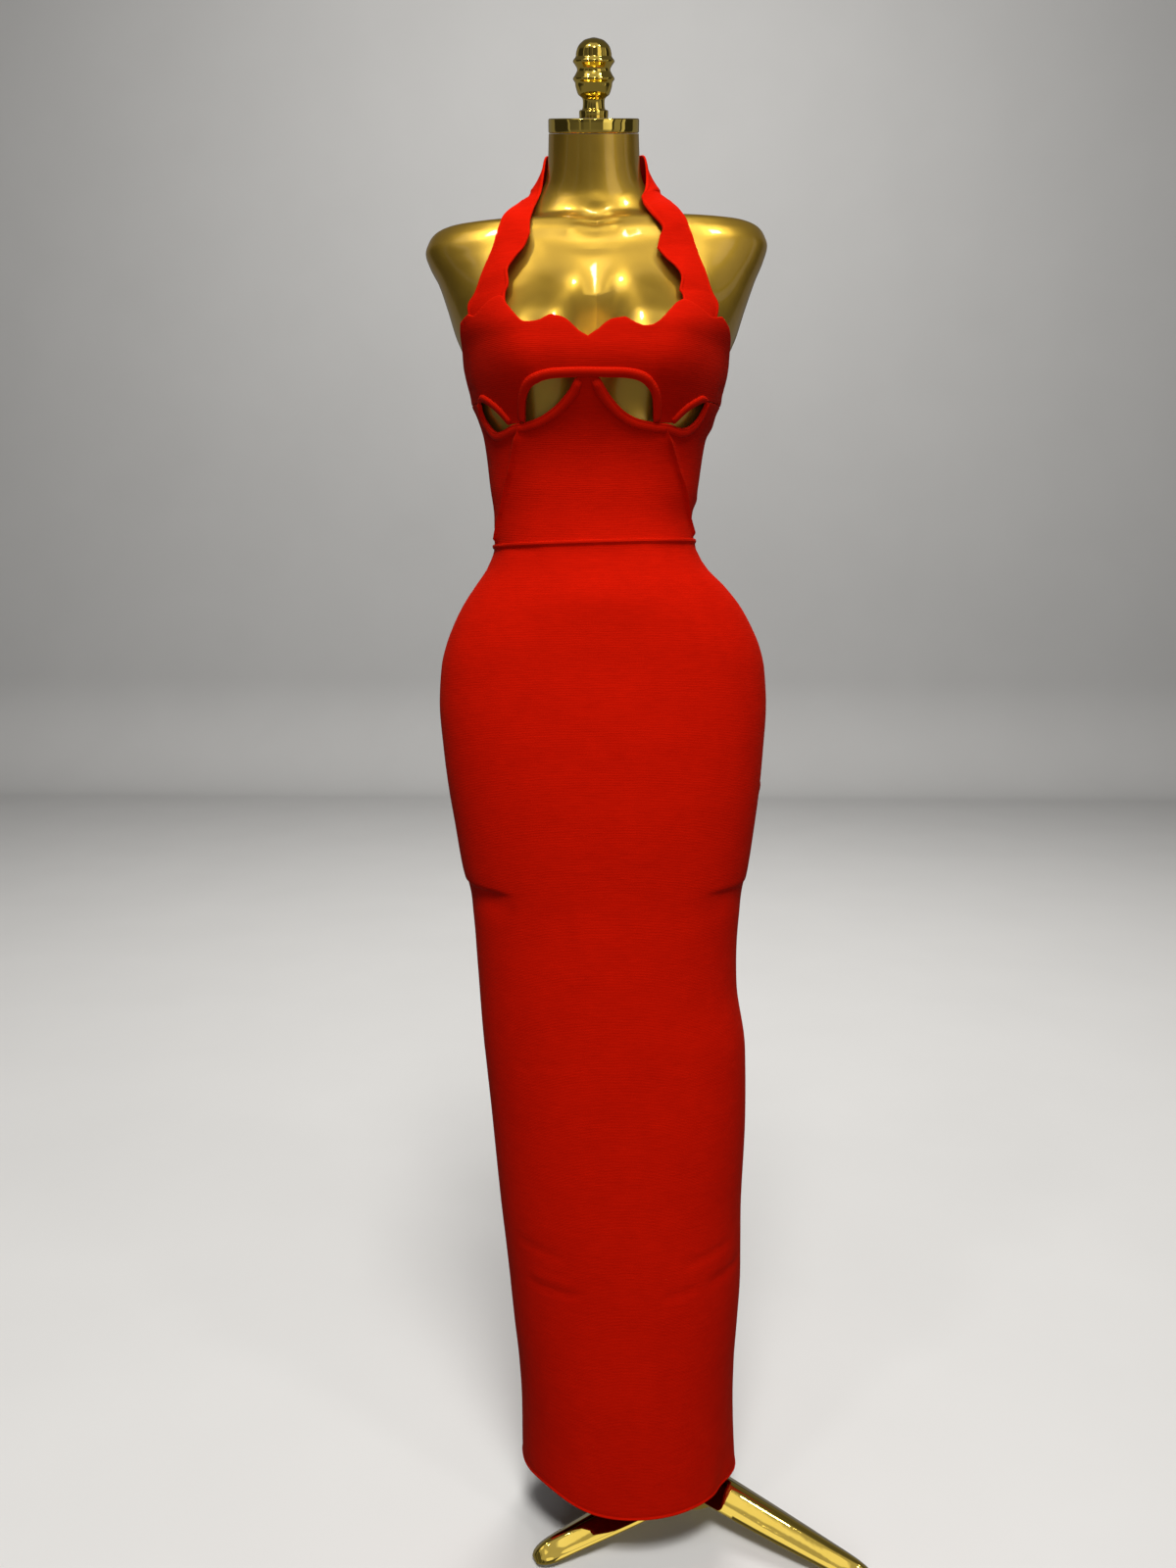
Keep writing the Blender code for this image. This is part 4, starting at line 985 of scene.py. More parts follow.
@dataclass(frozen=True)
class ClearPadFinish(Finish):
    """Milky clear plastic of the foot pads."""

    name: str = "clear_plastic_pad"
    slot: str = "clear_pad"

    def material(self) -> bpy.types.Material:
        """The finished material.

        Returns:
            The material.
        """
        made, graph = material_graph(self.name)
        place = graph.object_place()
        cloud = graph.noise(place, 150.0, 3.0)
        graph.surface({
            "Base Color": graph.mix(cloud, rgb(0.70, 0.69, 0.66), rgb(0.90, 0.89, 0.87)),
            "Roughness": 0.22 + 0.16 * cloud,
            "Normal": graph.bump(graph.noise(place, 700.0, 2.0), 0.00008),
            "Transmission Weight": 0.55,
            "IOR": 1.46,
        })
        return made


@dataclass(frozen=True)
class FloorFinish(Finish):
    """Plain pale floor."""

    name: str = "pale_floor"

    def material(self) -> bpy.types.Material:
        """The finished material.

        Returns:
            The material.
        """
        made, graph = material_graph(self.name)
        place = graph.object_place()
        cloud = graph.noise(place, 3.0, 3.0)
        graph.surface({
            "Base Color": graph.mix(cloud, rgb(0.66, 0.655, 0.645), rgb(0.70, 0.695, 0.685)),
            "Roughness": 0.55 + 0.10 * graph.noise(place, 60.0, 3.0),
        })
        return made


# ---- Mesh work ----


def finish_mesh(
    name: str, points: np.ndarray, faces: Iterable[Sequence[int]], cloth_places: np.ndarray | None = None,
    rim: np.ndarray | None = None, smooth_angle: float = 60.0,
) -> bpy.types.Object:
    """A closed piece from points and faces.

    Args:
        name: name of the piece.
        points: one row each, in the row frame.
        faces: corner numbers of each face.
        cloth_places: across and along the cloth at each point, in metres.
        rim: closeness to the piece's edge at each point, 0 to 1, where the knit paints a lighter highlight.
        smooth_angle: edges sharper than this many degrees stay sharp.

    Returns:
        The object, at the origin.
    """
    mesh = bpy.data.meshes.new(name)
    mesh.from_pydata(points.tolist(), [], [tuple(int(corner) for corner in face) for face in faces])
    shape = bmesh.new()
    shape.from_mesh(mesh)
    bmesh.ops.recalc_face_normals(shape, faces=shape.faces)
    shape.to_mesh(mesh)
    shape.free()
    if cloth_places is not None:
        corners = np.zeros(len(mesh.loops), int)
        mesh.loops.foreach_get("vertex_index", corners)
        layer = mesh.uv_layers.new(name="cloth")
        layer.data.foreach_set("uv", cloth_places[corners].ravel())
    if rim is not None:
        mesh.attributes.new("rim", "FLOAT", "POINT").data.foreach_set("value", rim)
    mesh.shade_smooth()
    mesh.set_sharp_from_angle(angle=math.radians(smooth_angle))
    item = bpy.data.objects.new(name, mesh)
    bpy.context.scene.collection.objects.link(item)
    return item


def polyline_distance(points: np.ndarray, line: np.ndarray, closed: bool) -> np.ndarray:
    """Distance of flat points from a line of flat points.

    Args:
        points: places, one row each.
        line: corners of the line.
        closed: whether its end joins its start.

    Returns:
        One distance a point.
    """
    starts = line if closed else line[:-1]
    ends = np.roll(line, -1, axis=0) if closed else line[1:]
    nearest = np.full(len(points), np.inf)
    for start, end in zip(starts, ends, strict=True):
        run = end - start
        share = np.clip((points - start) @ run / max(float(run @ run), 1e-14), 0.0, 1.0)
        away = points - start - share[:, None] * run
        np.minimum(nearest, np.hypot(away[:, 0], away[:, 1]), out=nearest)
    return nearest


def inside_loop(points: np.ndarray, loop: np.ndarray) -> np.ndarray:
    """Which flat points lie inside a closed loop.

    Args:
        points: flat places, one row each.
        loop: corners of the closed loop, one row each.

    Returns:
        True for each point inside.
    """
    inside = np.zeros(len(points), bool)
    before = np.roll(loop, 1, axis=0)
    for (x_1, y_1), (x_2, y_2) in zip(loop, before, strict=True):
        if y_1 == y_2:
            continue
        crosses = (y_1 > points[:, 1]) != (y_2 > points[:, 1])
        inside ^= crosses & (points[:, 0] < (x_2 - x_1) * (points[:, 1] - y_1) / (y_2 - y_1) + x_1)
    return inside


def divided(line: np.ndarray, step: float, closed: bool) -> np.ndarray:
    """A line with its longer sides divided evenly.

    Args:
        line: places, one row each.
        step: longest side that is left whole.
        closed: whether the last place joins the first.

    Returns:
        The places with the new ones between them.
    """
    result: list[np.ndarray] = []
    count = len(line) if closed else len(line) - 1
    for index in range(count):
        start, end = line[index], line[(index + 1) % len(line)]
        parts = max(1, math.ceil(float(np.hypot(*(end - start))) / step - 1e-6))
        result += [start + (end - start) * part / parts for part in range(parts)]
    if not closed:
        result.append(line[-1])
    return np.array(result)


def rounded_line(
    line: np.ndarray, step: float, tips: Sequence[int] = (), pointed: slice = slice(None),
) -> np.ndarray:
    """An open line through the given places, rounded between them and divided into even steps.

    Args:
        line: places, one row each.
        step: longest step.
        tips: rows where the line comes to a point.
        pointed: columns that the points are in.

    Returns:
        The line's places.
    """
    before = np.vstack([2 * line[0] - line[1], line[:-1]])
    after = np.vstack([line[1:], 2 * line[-1] - line[-2]])
    chords = np.linalg.norm(np.diff(line, axis=0), axis=1)
    result: list[np.ndarray] = []
    for index, chord in enumerate(chords):
        start, end = line[index], line[index + 1]
        pull_start = (end - before[index]) / 2
        pull_end = (after[index + 1] - start) / 2
        if index in tips:
            pull_start[pointed] = (end - start)[pointed]
        if index + 1 in tips:
            pull_end[pointed] = (end - start)[pointed]
        for pull in (pull_start, pull_end):
            size = float(np.linalg.norm(pull))
            if size > 1.2 * chord:
                pull *= 1.2 * chord / size
        parts = max(1, math.ceil(float(chord) / step))
        for part in range(parts):
            s = part / parts
            result.append(
                (2 * s ** 3 - 3 * s ** 2 + 1) * start + (s ** 3 - 2 * s ** 2 + s) * pull_start
                + (3 * s ** 2 - 2 * s ** 3) * end + (s ** 3 - s ** 2) * pull_end
            )
    result.append(line[-1])
    return np.array(result)


def wall_out(edge_distance: np.ndarray, wall: float) -> tuple[np.ndarray, np.ndarray]:
    """Outer and inner face of a wall whose edge is rounded.

    Args:
        edge_distance: distance from the piece's edge.
        wall: thickness.

    Returns:
        Distances out of the inner face for the two faces, equal on the edge itself.
    """
    half = wall / 2
    share = np.clip(edge_distance / half, 0.0, 1.0)
    bulge = half * np.sqrt(1 - (1 - share) ** 2)
    return half + bulge, half - bulge


def grid_cells(rows: int, columns: int) -> np.ndarray:
    """Corner numbers of each cell of a grid of points that is numbered row by row.

    Args:
        rows: number of rows of points.
        columns: number of points in a row.

    Returns:
        Four corner numbers for each cell.
    """
    grid = np.arange(rows * columns).reshape(rows, columns)
    corners = (grid[:-1, :-1], grid[:-1, 1:], grid[1:, 1:], grid[1:, :-1])
    return np.stack([corner.ravel() for corner in corners], axis=1)


def shell_piece(
    name: str, outside: np.ndarray, inside: np.ndarray, cells: np.ndarray, on_edge: np.ndarray,
    places: np.ndarray, edge_distance: np.ndarray,
) -> bpy.types.Object:
    """A thin closed piece of cloth whose two faces share their edge.

    Args:
        name: name of the piece.
        outside: points of the outer face.
        inside: points of the inner face.
        cells: corner numbers of the outer face's cells.
        on_edge: which points lie on the piece's edge.
        places: across and along the cloth at each point, in metres.
        edge_distance: distance of each point from the edge.

    Returns:
        The piece.
    """
    own = np.flatnonzero(~on_edge)
    second = np.arange(len(outside))
    second[own] = len(outside) + np.arange(len(own))
    # Closeness to the edge, which the knit uses to paint a lighter highlight there.
    rim = np.exp(-edge_distance / EDGE_HIGHLIGHT_REACH)
    return finish_mesh(
        name, np.vstack([outside, inside[own]]), np.concatenate([cells, second[cells][:, ::-1]]),
        np.concatenate([places, places[own]]), np.concatenate([rim, rim[own]]),
    )


def stand_for(piece: bpy.types.Object, node: str, finish: Finish) -> None:
    """Give a piece its finish and let it stand for its CAD node.

    Args:
        piece: the piece.
        node: name of its CAD node.
        finish: its finish.
    """
    piece.data.materials.clear()
    piece.data.materials.append(bpy.data.materials[finish.name])
    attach(piece, "root")
    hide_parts(node)


# ---- The dress ----

NECKLINE: Rows = (
    (-0.1368, 1.3647), (-0.1285, 1.3700), (-0.1209, 1.3675), (-0.1072, 1.3778),
    (-0.1002, 1.3817), (-0.0931, 1.3815), (-0.0858, 1.3703), (-0.0728, 1.3551),
    (-0.0632, 1.3538), (-0.0538, 1.3562), (-0.0452, 1.3600), (-0.0367, 1.3588),
    (-0.0290, 1.3555), (-0.0165, 1.3445), (-0.0081, 1.3398), (-0.0008, 1.3448),
    (0.0126, 1.3548), (0.0278, 1.3580), (0.0411, 1.3516), (0.0516, 1.3508),
    (0.0620, 1.3556), (0.0777, 1.3735), (0.0857, 1.3786), (0.0927, 1.3764),
    (0.1134, 1.3660), (0.1254, 1.3683),
)
NECKLINE_TIPS = (1, 4, 11, 14, 17, 22)
ARCH: Rows = (
    (-0.0711, 1.2644), (-0.0708, 1.2750), (-0.0693, 1.2861), (-0.0630, 1.2968),
    (-0.0474, 1.3025), (-0.0223, 1.3038), (0.0064, 1.3038), (0.0314, 1.3033),
    (0.0460, 1.2995), (0.0552, 1.2897), (0.0576, 1.2770), (0.0582, 1.2644),
)
LEAF_TOP_MINUS_X: Rows = ((-0.1185, 1.2877), (-0.1125, 1.2876), (-0.0998, 1.2778), (-0.0867, 1.2632))
LEAF_TOP_PLUS_X: Rows = ((0.0776, 1.2644), (0.0913, 1.2774), (0.1048, 1.2863), (0.1126, 1.2886))
LEAF_LOW_MINUS_X: Rows = (
    (-0.1185, 1.2877), (-0.1160, 1.2760), (-0.1107, 1.2673), (-0.1050, 1.2600), (-0.0999, 1.2572),
    (-0.0930, 1.2585), (-0.0860, 1.2615), (-0.0775, 1.2634),
)
LEAF_LOW_PLUS_X: Rows = (
    (0.0705, 1.2634), (0.0776, 1.2622), (0.0850, 1.2604), (0.0925, 1.2616), (0.1000, 1.2670),
    (0.1059, 1.2743), (0.1126, 1.2886),
)
MIDRIFF_TOP_MINUS_X: Rows = (
    (-0.0775, 1.2634), (-0.0702, 1.2636), (-0.0550, 1.2684), (-0.0400, 1.2776),
    (-0.0272, 1.2903), (-0.0204, 1.3012),
)
MIDRIFF_TOP_PLUS_X: Rows = (
    (0.0036, 1.3012), (0.0134, 1.2869), (0.0263, 1.2741), (0.0413, 1.2666),
    (0.0583, 1.2638), (0.0705, 1.2634),
)
MIDRIFF_TAB: Rows = ((-0.0190, 1.3034), (0.0025, 1.3034))
PRINCESS_MINUS_X: Rows = ((-0.0858, 1.2187), (-0.0953, 1.1800), (-0.1046, 1.1427))
PRINCESS_PLUS_X: Rows = ((0.0838, 1.2194), (0.0953, 1.1813), (0.1046, 1.1497))

JOINS: Rows = ((-0.0775, 1.2634), (0.0705, 1.2634))

# Turns and heights.
ARMHOLE_MINUS_X: Rows = ((-90.0, 1.3200), (-79.0, 1.3340), (-70.0, 1.3500))
ARMHOLE_PLUS_X: Rows = ((60.0, 1.3610), (70.0, 1.3490), (80.0, 1.3340), (90.0, 1.3200))
BACK_TOP: Rows = (
    (90.0, 1.3200), (102.0, 1.3080), (122.0, 1.2880), (150.0, 1.2690), (180.0, 1.2620),
    (210.0, 1.2690), (238.0, 1.2880), (258.0, 1.3080), (270.0, 1.3200),
)
SIDE_SEAM_CUP = 1.2915
HEM_FRONT, HEM_BACK = 0.0550, 0.0580
HEM_PLUS_X, HEM_MINUS_X = 0.0600, 0.0660
# How far the hem is lifted at one turn, that turn, and the lift's width in degrees.
HEM_LIFT: Triple = (0.0100, -48.0, 22.0)
BINDING_WIDTH = 0.0080
LEAF_BINDING_WIDTH = 0.0065


def waist_height(turns: np.ndarray) -> np.ndarray:
    """Level of the waist seam."""
    return WAIST_SEAM + WAIST_TILT * np.sin(np.radians(turns))


def hem_height(turns: np.ndarray) -> np.ndarray:
    """Level of the hem.

    Args:
        turns: angle of each point about the body, in degrees from the front.

    Returns:
        Height of the hem at each turn.
    """
    ahead, across = np.cos(np.radians(turns)), np.sin(np.radians(turns))
    end = np.where(ahead > 0, HEM_FRONT, HEM_BACK)
    side = np.where(across > 0, HEM_PLUS_X, HEM_MINUS_X)
    rise, turn, width = HEM_LIFT
    lift = rise * np.exp(-((((turns - turn + 180) % 360 - 180) / width) ** 2))
    return end * ahead ** 2 + side * across ** 2 + lift


def flat_front(rows: Rows) -> np.ndarray:
    """Flat places (cloth length around, height) of an outline given as sideways places and heights."""
    table = np.array(rows, float)
    return np.column_stack([BODY.turn_at(table[:, 0], table[:, 1]) * TURN_LENGTH, table[:, 1]])


def flat_turns(rows: Rows) -> np.ndarray:
    """Flat places of an outline given as turns and heights."""
    table = np.array(rows, float)
    return np.column_stack([table[:, 0] * TURN_LENGTH, table[:, 1]])


@dataclass
class Skirt:
    """Front and back of the skirt, from the waist seam to the hem."""

    columns: int = 116
    row_step: float = 0.0052
    crease_rows: Pair = (0.756, 0.800)
    crease_step: float = 0.0013
    lap: float = 0.0016
    lip_height: float = 0.0036
    lip_rise: float = -0.0003
    hem_roll: float = 0.0026
    hem_rise: float = 0.0006
    # Size of each half as it is cut, and its area.
    flat: Pair = (0.500, 1.100)
    areas: Mapping[str, float] = field(default_factory=lambda: {"skirt_front": 0.435, "skirt_back": 0.465})

    def heights(self, turns: np.ndarray) -> np.ndarray:
        """Height of each row at each column.

        Args:
            turns: turn of each column.

        Returns:
            One row of heights for each row of the grid.
        """
        near_edge = (*EDGE_ROWS, 0.0018, 0.0026, 0.0036, 0.0050, 0.0070, 0.0110)
        low, high = self.crease_rows
        middle = np.concatenate([
            np.arange(0.0800, low - 0.0005, self.row_step),
            np.arange(low, high - 0.0005, self.crease_step),
            np.arange(high, WAIST_SEAM - 0.0175, self.row_step),
        ])
        bottom = hem_height(turns)[None, :] + np.array(near_edge)[:, None]
        top = waist_height(turns)[None, :] + self.lap - np.array(near_edge[::-1])[:, None]
        return np.vstack([bottom, np.repeat(middle[:, None], len(turns), axis=1), top])

    def half(self, name: str, start: float) -> bpy.types.Object:
        """One half of the skirt.

        Args:
            name: name of the piece.
            start: turn of its first side seam.

        Returns:
            The piece.
        """
        edge = np.array([*EDGE_ROWS, 0.0018, 0.0030]) / TURN_LENGTH
        inner = np.linspace(SEAM_TURN + edge[-1], 180 - SEAM_TURN - edge[-1], self.columns)[1:-1]
        across = np.concatenate([SEAM_TURN + edge, inner, (180 - SEAM_TURN - edge)[::-1]])
        turns = start + across
        heights = self.heights(turns)
        rows, columns = heights.shape
        all_turns = np.tile(turns, rows)
        flat_heights = heights.ravel()
        above_hem = (heights - heights[0]).ravel()
        below_waist = (heights[-1] - heights).ravel()
        side = np.tile(np.minimum(across - SEAM_TURN, 180 - SEAM_TURN - across) * TURN_LENGTH, rows)
        edge_distance = np.minimum(np.minimum(above_hem, below_waist), side)
        outer, under = wall_out(edge_distance, CLOTH)
        lip = smooth_step((self.lip_height - below_waist) / 0.0022) * smooth_step(below_waist / 0.0016)
        over = (CLOTH + SEAM_GAP) * smooth_step((self.lap + 0.0040 - below_waist) / 0.0032)
        outer = outer + self.lip_rise * lip + over
        under = under + over
        outer += self.hem_rise * smooth_step((self.hem_roll - above_hem) / 0.0010)
        outer -= 0.0003 * np.exp(-(((above_hem - self.hem_roll - 0.0010) / 0.0009) ** 2))
        outer -= 0.0005 * np.exp(-((side / 0.0022) ** 2))
        on_edge = edge_distance <= 0
        outer[on_edge] = CLOTH / 2 + over[on_edge]
        outside = BODY.cloth(all_turns, flat_heights, outer)
        inside = BODY.cloth(all_turns, flat_heights, under)
        steps = np.linalg.norm(np.diff(outside.reshape(rows, columns, 3), axis=1), axis=2)
        along = np.concatenate([np.zeros((rows, 1)), np.cumsum(steps, axis=1)], axis=1)
        along -= along[:, columns // 2:columns // 2 + 1]
        places = np.column_stack([along.ravel(), flat_heights])
        return shell_piece(
            name, outside, inside, grid_cells(rows, columns), on_edge, places, edge_distance,
        )

    def build(self, knit: KnitFinish) -> list[bpy.types.Object]:
        """Both halves, finished.

        Args:
            knit: finish of the cloth.

        Returns:
            The pieces.
        """
        made = []
        for name, start in (("skirt_front", -90.0), ("skirt_back", 90.0)):
            piece = self.half("visual_" + name, start)
            stand_for(piece, name, knit)
            made.append(piece)
        return made


@dataclass
class Bodice:
    """Panels above the waist."""

    spacing: float = 0.0040
    edge_step: float = 0.0022
    edge_rows: tuple[float, ...] = (*EDGE_ROWS[1:], 0.0020, 0.0034)
    # Height and width: rolls of the two princess seams at their tops, the same at the waist,
    # the cord and the groove beside each seam, and the corner that the cloth turns there.
    ridges: Rows = ((0.0038, 0.0058), (0.0026, 0.0040))
    ridge_foot: Pair = (0.0016, 0.0030)
    cord: Pair = (0.0021, 0.0013)
    groove: Pair = (0.0010, 0.0012)
    corner: Pair = (0.0030, 0.0160)
    cord_place: float = 0.0014
    corner_inside: float = 0.0045

    def __post_init__(self) -> None:
        """Work out the shared edges of the panels."""
        gap, side = SEAM_GAP, SIDE_PLACE
        self.arch = flat_front(ARCH)
        self.leaf_minus = flat_front(LEAF_TOP_MINUS_X)
        self.leaf_plus = flat_front(LEAF_TOP_PLUS_X)
        leaf_low = flat_front(LEAF_LOW_MINUS_X)
        self.under_minus = np.vstack([leaf_low, flat_front(MIDRIFF_TOP_MINUS_X)[1:]]) - (0, gap)
        midriff_top = flat_front(MIDRIFF_TOP_PLUS_X)
        self.under_plus = np.vstack([midriff_top, flat_front(LEAF_LOW_PLUS_X)[1:]]) - (0, gap)
        join_minus, join_plus = flat_front(JOINS) - (0, gap)
        self.princess_minus = np.vstack([join_minus, flat_front(PRINCESS_MINUS_X)])
        self.princess_plus = np.vstack([join_plus, flat_front(PRINCESS_PLUS_X)])
        self.cup_minus = np.array([(-side, SIDE_SEAM_CUP), self.leaf_minus[0]])
        self.cup_plus = np.array([self.leaf_plus[-1], (side, SIDE_SEAM_CUP)])
        self.seam_minus = len(leaf_low) - 1
        self.seam_plus = len(MIDRIFF_TOP_PLUS_X) - 1

    def waist(self, start: float, end: float) -> np.ndarray:
        """Edge along the waist seam between two flat places."""
        across = np.linspace(start, end, max(3, round(abs(end - start) / 0.02)))
        return np.column_stack([across, waist_height(across / TURN_LENGTH) + SEAM_GAP / 2])

    def outlines(self) -> dict[str, np.ndarray]:
        """Closed outline of each panel in flat places.

        Returns:
            Outlines by the name of the panel.
        """
        gap, part, side = SEAM_GAP, SEAM_PART, SIDE_PLACE
        neckline = rounded_line(flat_front(NECKLINE), 0.0020, NECKLINE_TIPS)
        armhole_plus = flat_turns(ARMHOLE_PLUS_X)
        armhole_plus[-1, 0] = side
        armhole_minus = flat_turns(ARMHOLE_MINUS_X)
        armhole_minus[0, 0] = -side
        arch = rounded_line(self.arch, 0.0030)
        bust = [
            neckline, rounded_line(armhole_plus, 0.004), self.cup_plus[::-1],
            rounded_line(self.leaf_plus, 0.003)[-2::-1], arch[::-1],
            rounded_line(self.leaf_minus, 0.003)[:0:-1], self.cup_minus[::-1],
            rounded_line(armhole_minus, 0.004),
        ]
        right, left = (-part, 0.0), (part, 0.0)
        under_left = rounded_line(self.under_minus[self.seam_minus:], 0.003)
        under_right = rounded_line(self.under_plus[:self.seam_plus + 1], 0.003)
        princess_left = self.princess_minus + left
        princess_right = self.princess_plus + right
        midriff = [
            princess_left[:1], under_left[1:], flat_front(MIDRIFF_TAB) - (0, gap), under_right[:-1],
            princess_right[:-1], self.waist(princess_right[-1, 0], princess_left[-1, 0]),
            princess_left[-2:0:-1],
        ]
        outer_left = self.princess_minus + right
        side_right = [
            self.cup_minus[:-1] - (0, gap), rounded_line(self.under_minus[:self.seam_minus + 1], 0.003)[:-1],
            outer_left[:-1], self.waist(outer_left[-1, 0], -side),
        ]
        outer_right = self.princess_plus + left
        side_left = [
            outer_right[:1], rounded_line(self.under_plus[self.seam_plus:], 0.003)[1:],
            self.cup_plus[1:] - (0, gap), self.waist(side, outer_right[-1, 0]), outer_right[-2:0:-1],
        ]
        back_top = rounded_line(flat_turns(BACK_TOP), 0.006)
        back_top[0, 0], back_top[-1, 0] = side + 2 * part, 270 * TURN_LENGTH - part
        back = [back_top, self.waist(back_top[-1, 0], back_top[0, 0])]
        parts = {
            "bust_panel": bust, "midriff_front": midriff, "side_front_right": side_right,
            "side_front_left": side_left, "back_bodice": back,
        }
        return {name: self.closed(lines) for name, lines in parts.items()}

    @staticmethod
    def closed(lines: Sequence[np.ndarray]) -> np.ndarray:
        """One loop of several lines, without doubled corners.

        Args:
            lines: lines that follow each other round the loop.

        Returns:
            Corners of the loop, one row each.
        """
        loop = np.vstack(lines)
        kept = [loop[0]]
        for place in loop[1:]:
            if np.hypot(*(place - kept[-1])) > 0.0002:
                kept.append(place)
        if np.hypot(*(kept[0] - kept[-1])) < 0.0002:
            kept.pop()
        return np.array(kept)

    def relief(self, places: np.ndarray) -> np.ndarray:
        """Rise of the rolled princess seams, where the flat front turns to the side.

        Args:
            places: flat places, one row each.

        Returns:
            Outward rise at each place.
        """
        rise = np.zeros(len(places))
        for line, inner, top in (
            (self.princess_minus, 1.0, self.ridges[0]), (self.princess_plus, -1.0, self.ridges[1]),
        ):
            away = polyline_distance(places, line, closed=False)
            down = np.clip((line[0, 1] - places[:, 1]) / (line[0, 1] - line[-1, 1]), 0.0, 1.0) ** 0.6
            across = np.interp(places[:, 1], line[::-1, 1], line[::-1, 0])
            signed = away * np.sign((places[:, 0] - across) * inner)
            height = top[0] + (self.ridge_foot[0] - top[0]) * down
            width = top[1] + (self.ridge_foot[1] - top[1]) * down
            below = smooth_step((line[0, 1] + 0.0020 - places[:, 1]) / 0.0060)
            lower = smooth_step((line[0, 1] - 0.0040 - places[:, 1]) / 0.0120)
            roll = height * np.exp(-((signed / np.where(signed > 0, width, 0.55 * width)) ** 2))
            cord = self.cord[0] * np.exp(-(((signed - self.cord_place) / self.cord[1]) ** 2))
            cord -= self.groove[0] * np.exp(-(((signed + self.cord_place) / self.groove[1]) ** 2))
            fade = np.where(signed > 0, self.corner[1], self.corner_inside)
            corner = self.corner[0] * (1 - 0.6 * down) * lower * np.exp(-((away / fade) ** 2))
            rise += below * (roll * (0.6 + 0.4 * lower) + cord) + corner
        above_waist = places[:, 1] - waist_height(places[:, 0] / TURN_LENGTH)
        return rise * smooth_step((above_waist - 0.0018) / 0.0060)

    def panel(self, name: str, outline: np.ndarray) -> bpy.types.Object:
        """A panel from its outline.

        Args:
            name: name of the piece.
            outline: closed loop of flat places.

        Returns:
            The piece.
        """
        edge = divided(outline, self.edge_step, closed=True)
        if self.signed_area(edge) < 0:
            edge = edge[::-1]
        before, after = np.roll(edge, 1, axis=0), np.roll(edge, -1, axis=0)
        along = after - before
        along /= np.linalg.norm(along, axis=1)[:, None]
        inward = np.column_stack([-along[:, 1], along[:, 0]])
        places = [edge]
        for offset in self.edge_rows:
            row = edge + inward * offset
            clear = polyline_distance(row, edge, closed=True) > 0.93 * offset
            places.append(row[clear & inside_loop(row, edge)])
        low, high = edge.min(axis=0), edge.max(axis=0)
        levels = np.arange(low[1], high[1], self.spacing * 0.866)
        columns = np.arange(low[0], high[0], self.spacing)
        grid = np.array([
            (column + (row % 2) * self.spacing / 2, level)
            for row, level in enumerate(levels) for column in columns
        ])
        grid = grid[inside_loop(grid, edge)]
        grid = grid[polyline_distance(grid, edge, closed=True) > self.edge_rows[-1] + 0.3 * self.spacing]
        places.append(grid)
        flat = np.vstack(places)
        count = len(edge)
        lines = [(index, (index + 1) % count) for index in range(count)]
        made = delaunay_2d_cdt([Vector(place) for place in flat], lines, [], 1, 1e-7)
        flat = np.array([tuple(place) for place in made[0]])
        triangles = np.array(made[2])
        edge_distance = polyline_distance(flat, edge, closed=True)
        used = {tuple(sorted(pair)) for pair in self.border(triangles)}
        on_edge = np.zeros(len(flat), bool)
        on_edge[[corner for pair in used for corner in pair]] = True
        edge_distance[on_edge] = 0.0
        outer, under = wall_out(edge_distance, CLOTH)
        rise = self.relief(flat)
        outer[on_edge] = under[on_edge] = CLOTH / 2
        outer, under = outer + rise, under + rise
        turns = flat[:, 0] / TURN_LENGTH
        outside = BODY.cloth(turns, flat[:, 1], outer)
        inside = BODY.cloth(turns, flat[:, 1], under)
        return shell_piece(name, outside, inside, triangles, on_edge, flat, edge_distance)

    @staticmethod
    def signed_area(loop: np.ndarray) -> float:
        """Area of a loop, positive when it runs anticlockwise."""
        after = np.roll(loop, -1, axis=0)
        return float(np.sum(loop[:, 0] * after[:, 1] - after[:, 0] * loop[:, 1]) / 2)

    @staticmethod
    def border(triangles: np.ndarray) -> list[tuple[int, int]]:
        """Edges that belong to one triangle only.

        Args:
            triangles: corner numbers of each triangle.

        Returns:
            The two corner numbers of each edge.
        """
        seen: dict[tuple[int, int], int] = {}
        for triangle in triangles.tolist():
            for corner in range(3):
                pair = tuple(sorted((triangle[corner], triangle[(corner + 1) % 3])))
                seen[pair] = seen.get(pair, 0) + 1
        return [pair for pair, count in seen.items() if count == 1]

    def build(self, knit: KnitFinish) -> list[bpy.types.Object]:
        """All panels, finished.

        Args:
            knit: finish of the cloth.

        Returns:
            The pieces.
        """
        made = []
        for name, outline in self.outlines().items():
            piece = self.panel("visual_" + name, outline)
            stand_for(piece, name, knit)
            made.append(piece)
        return made


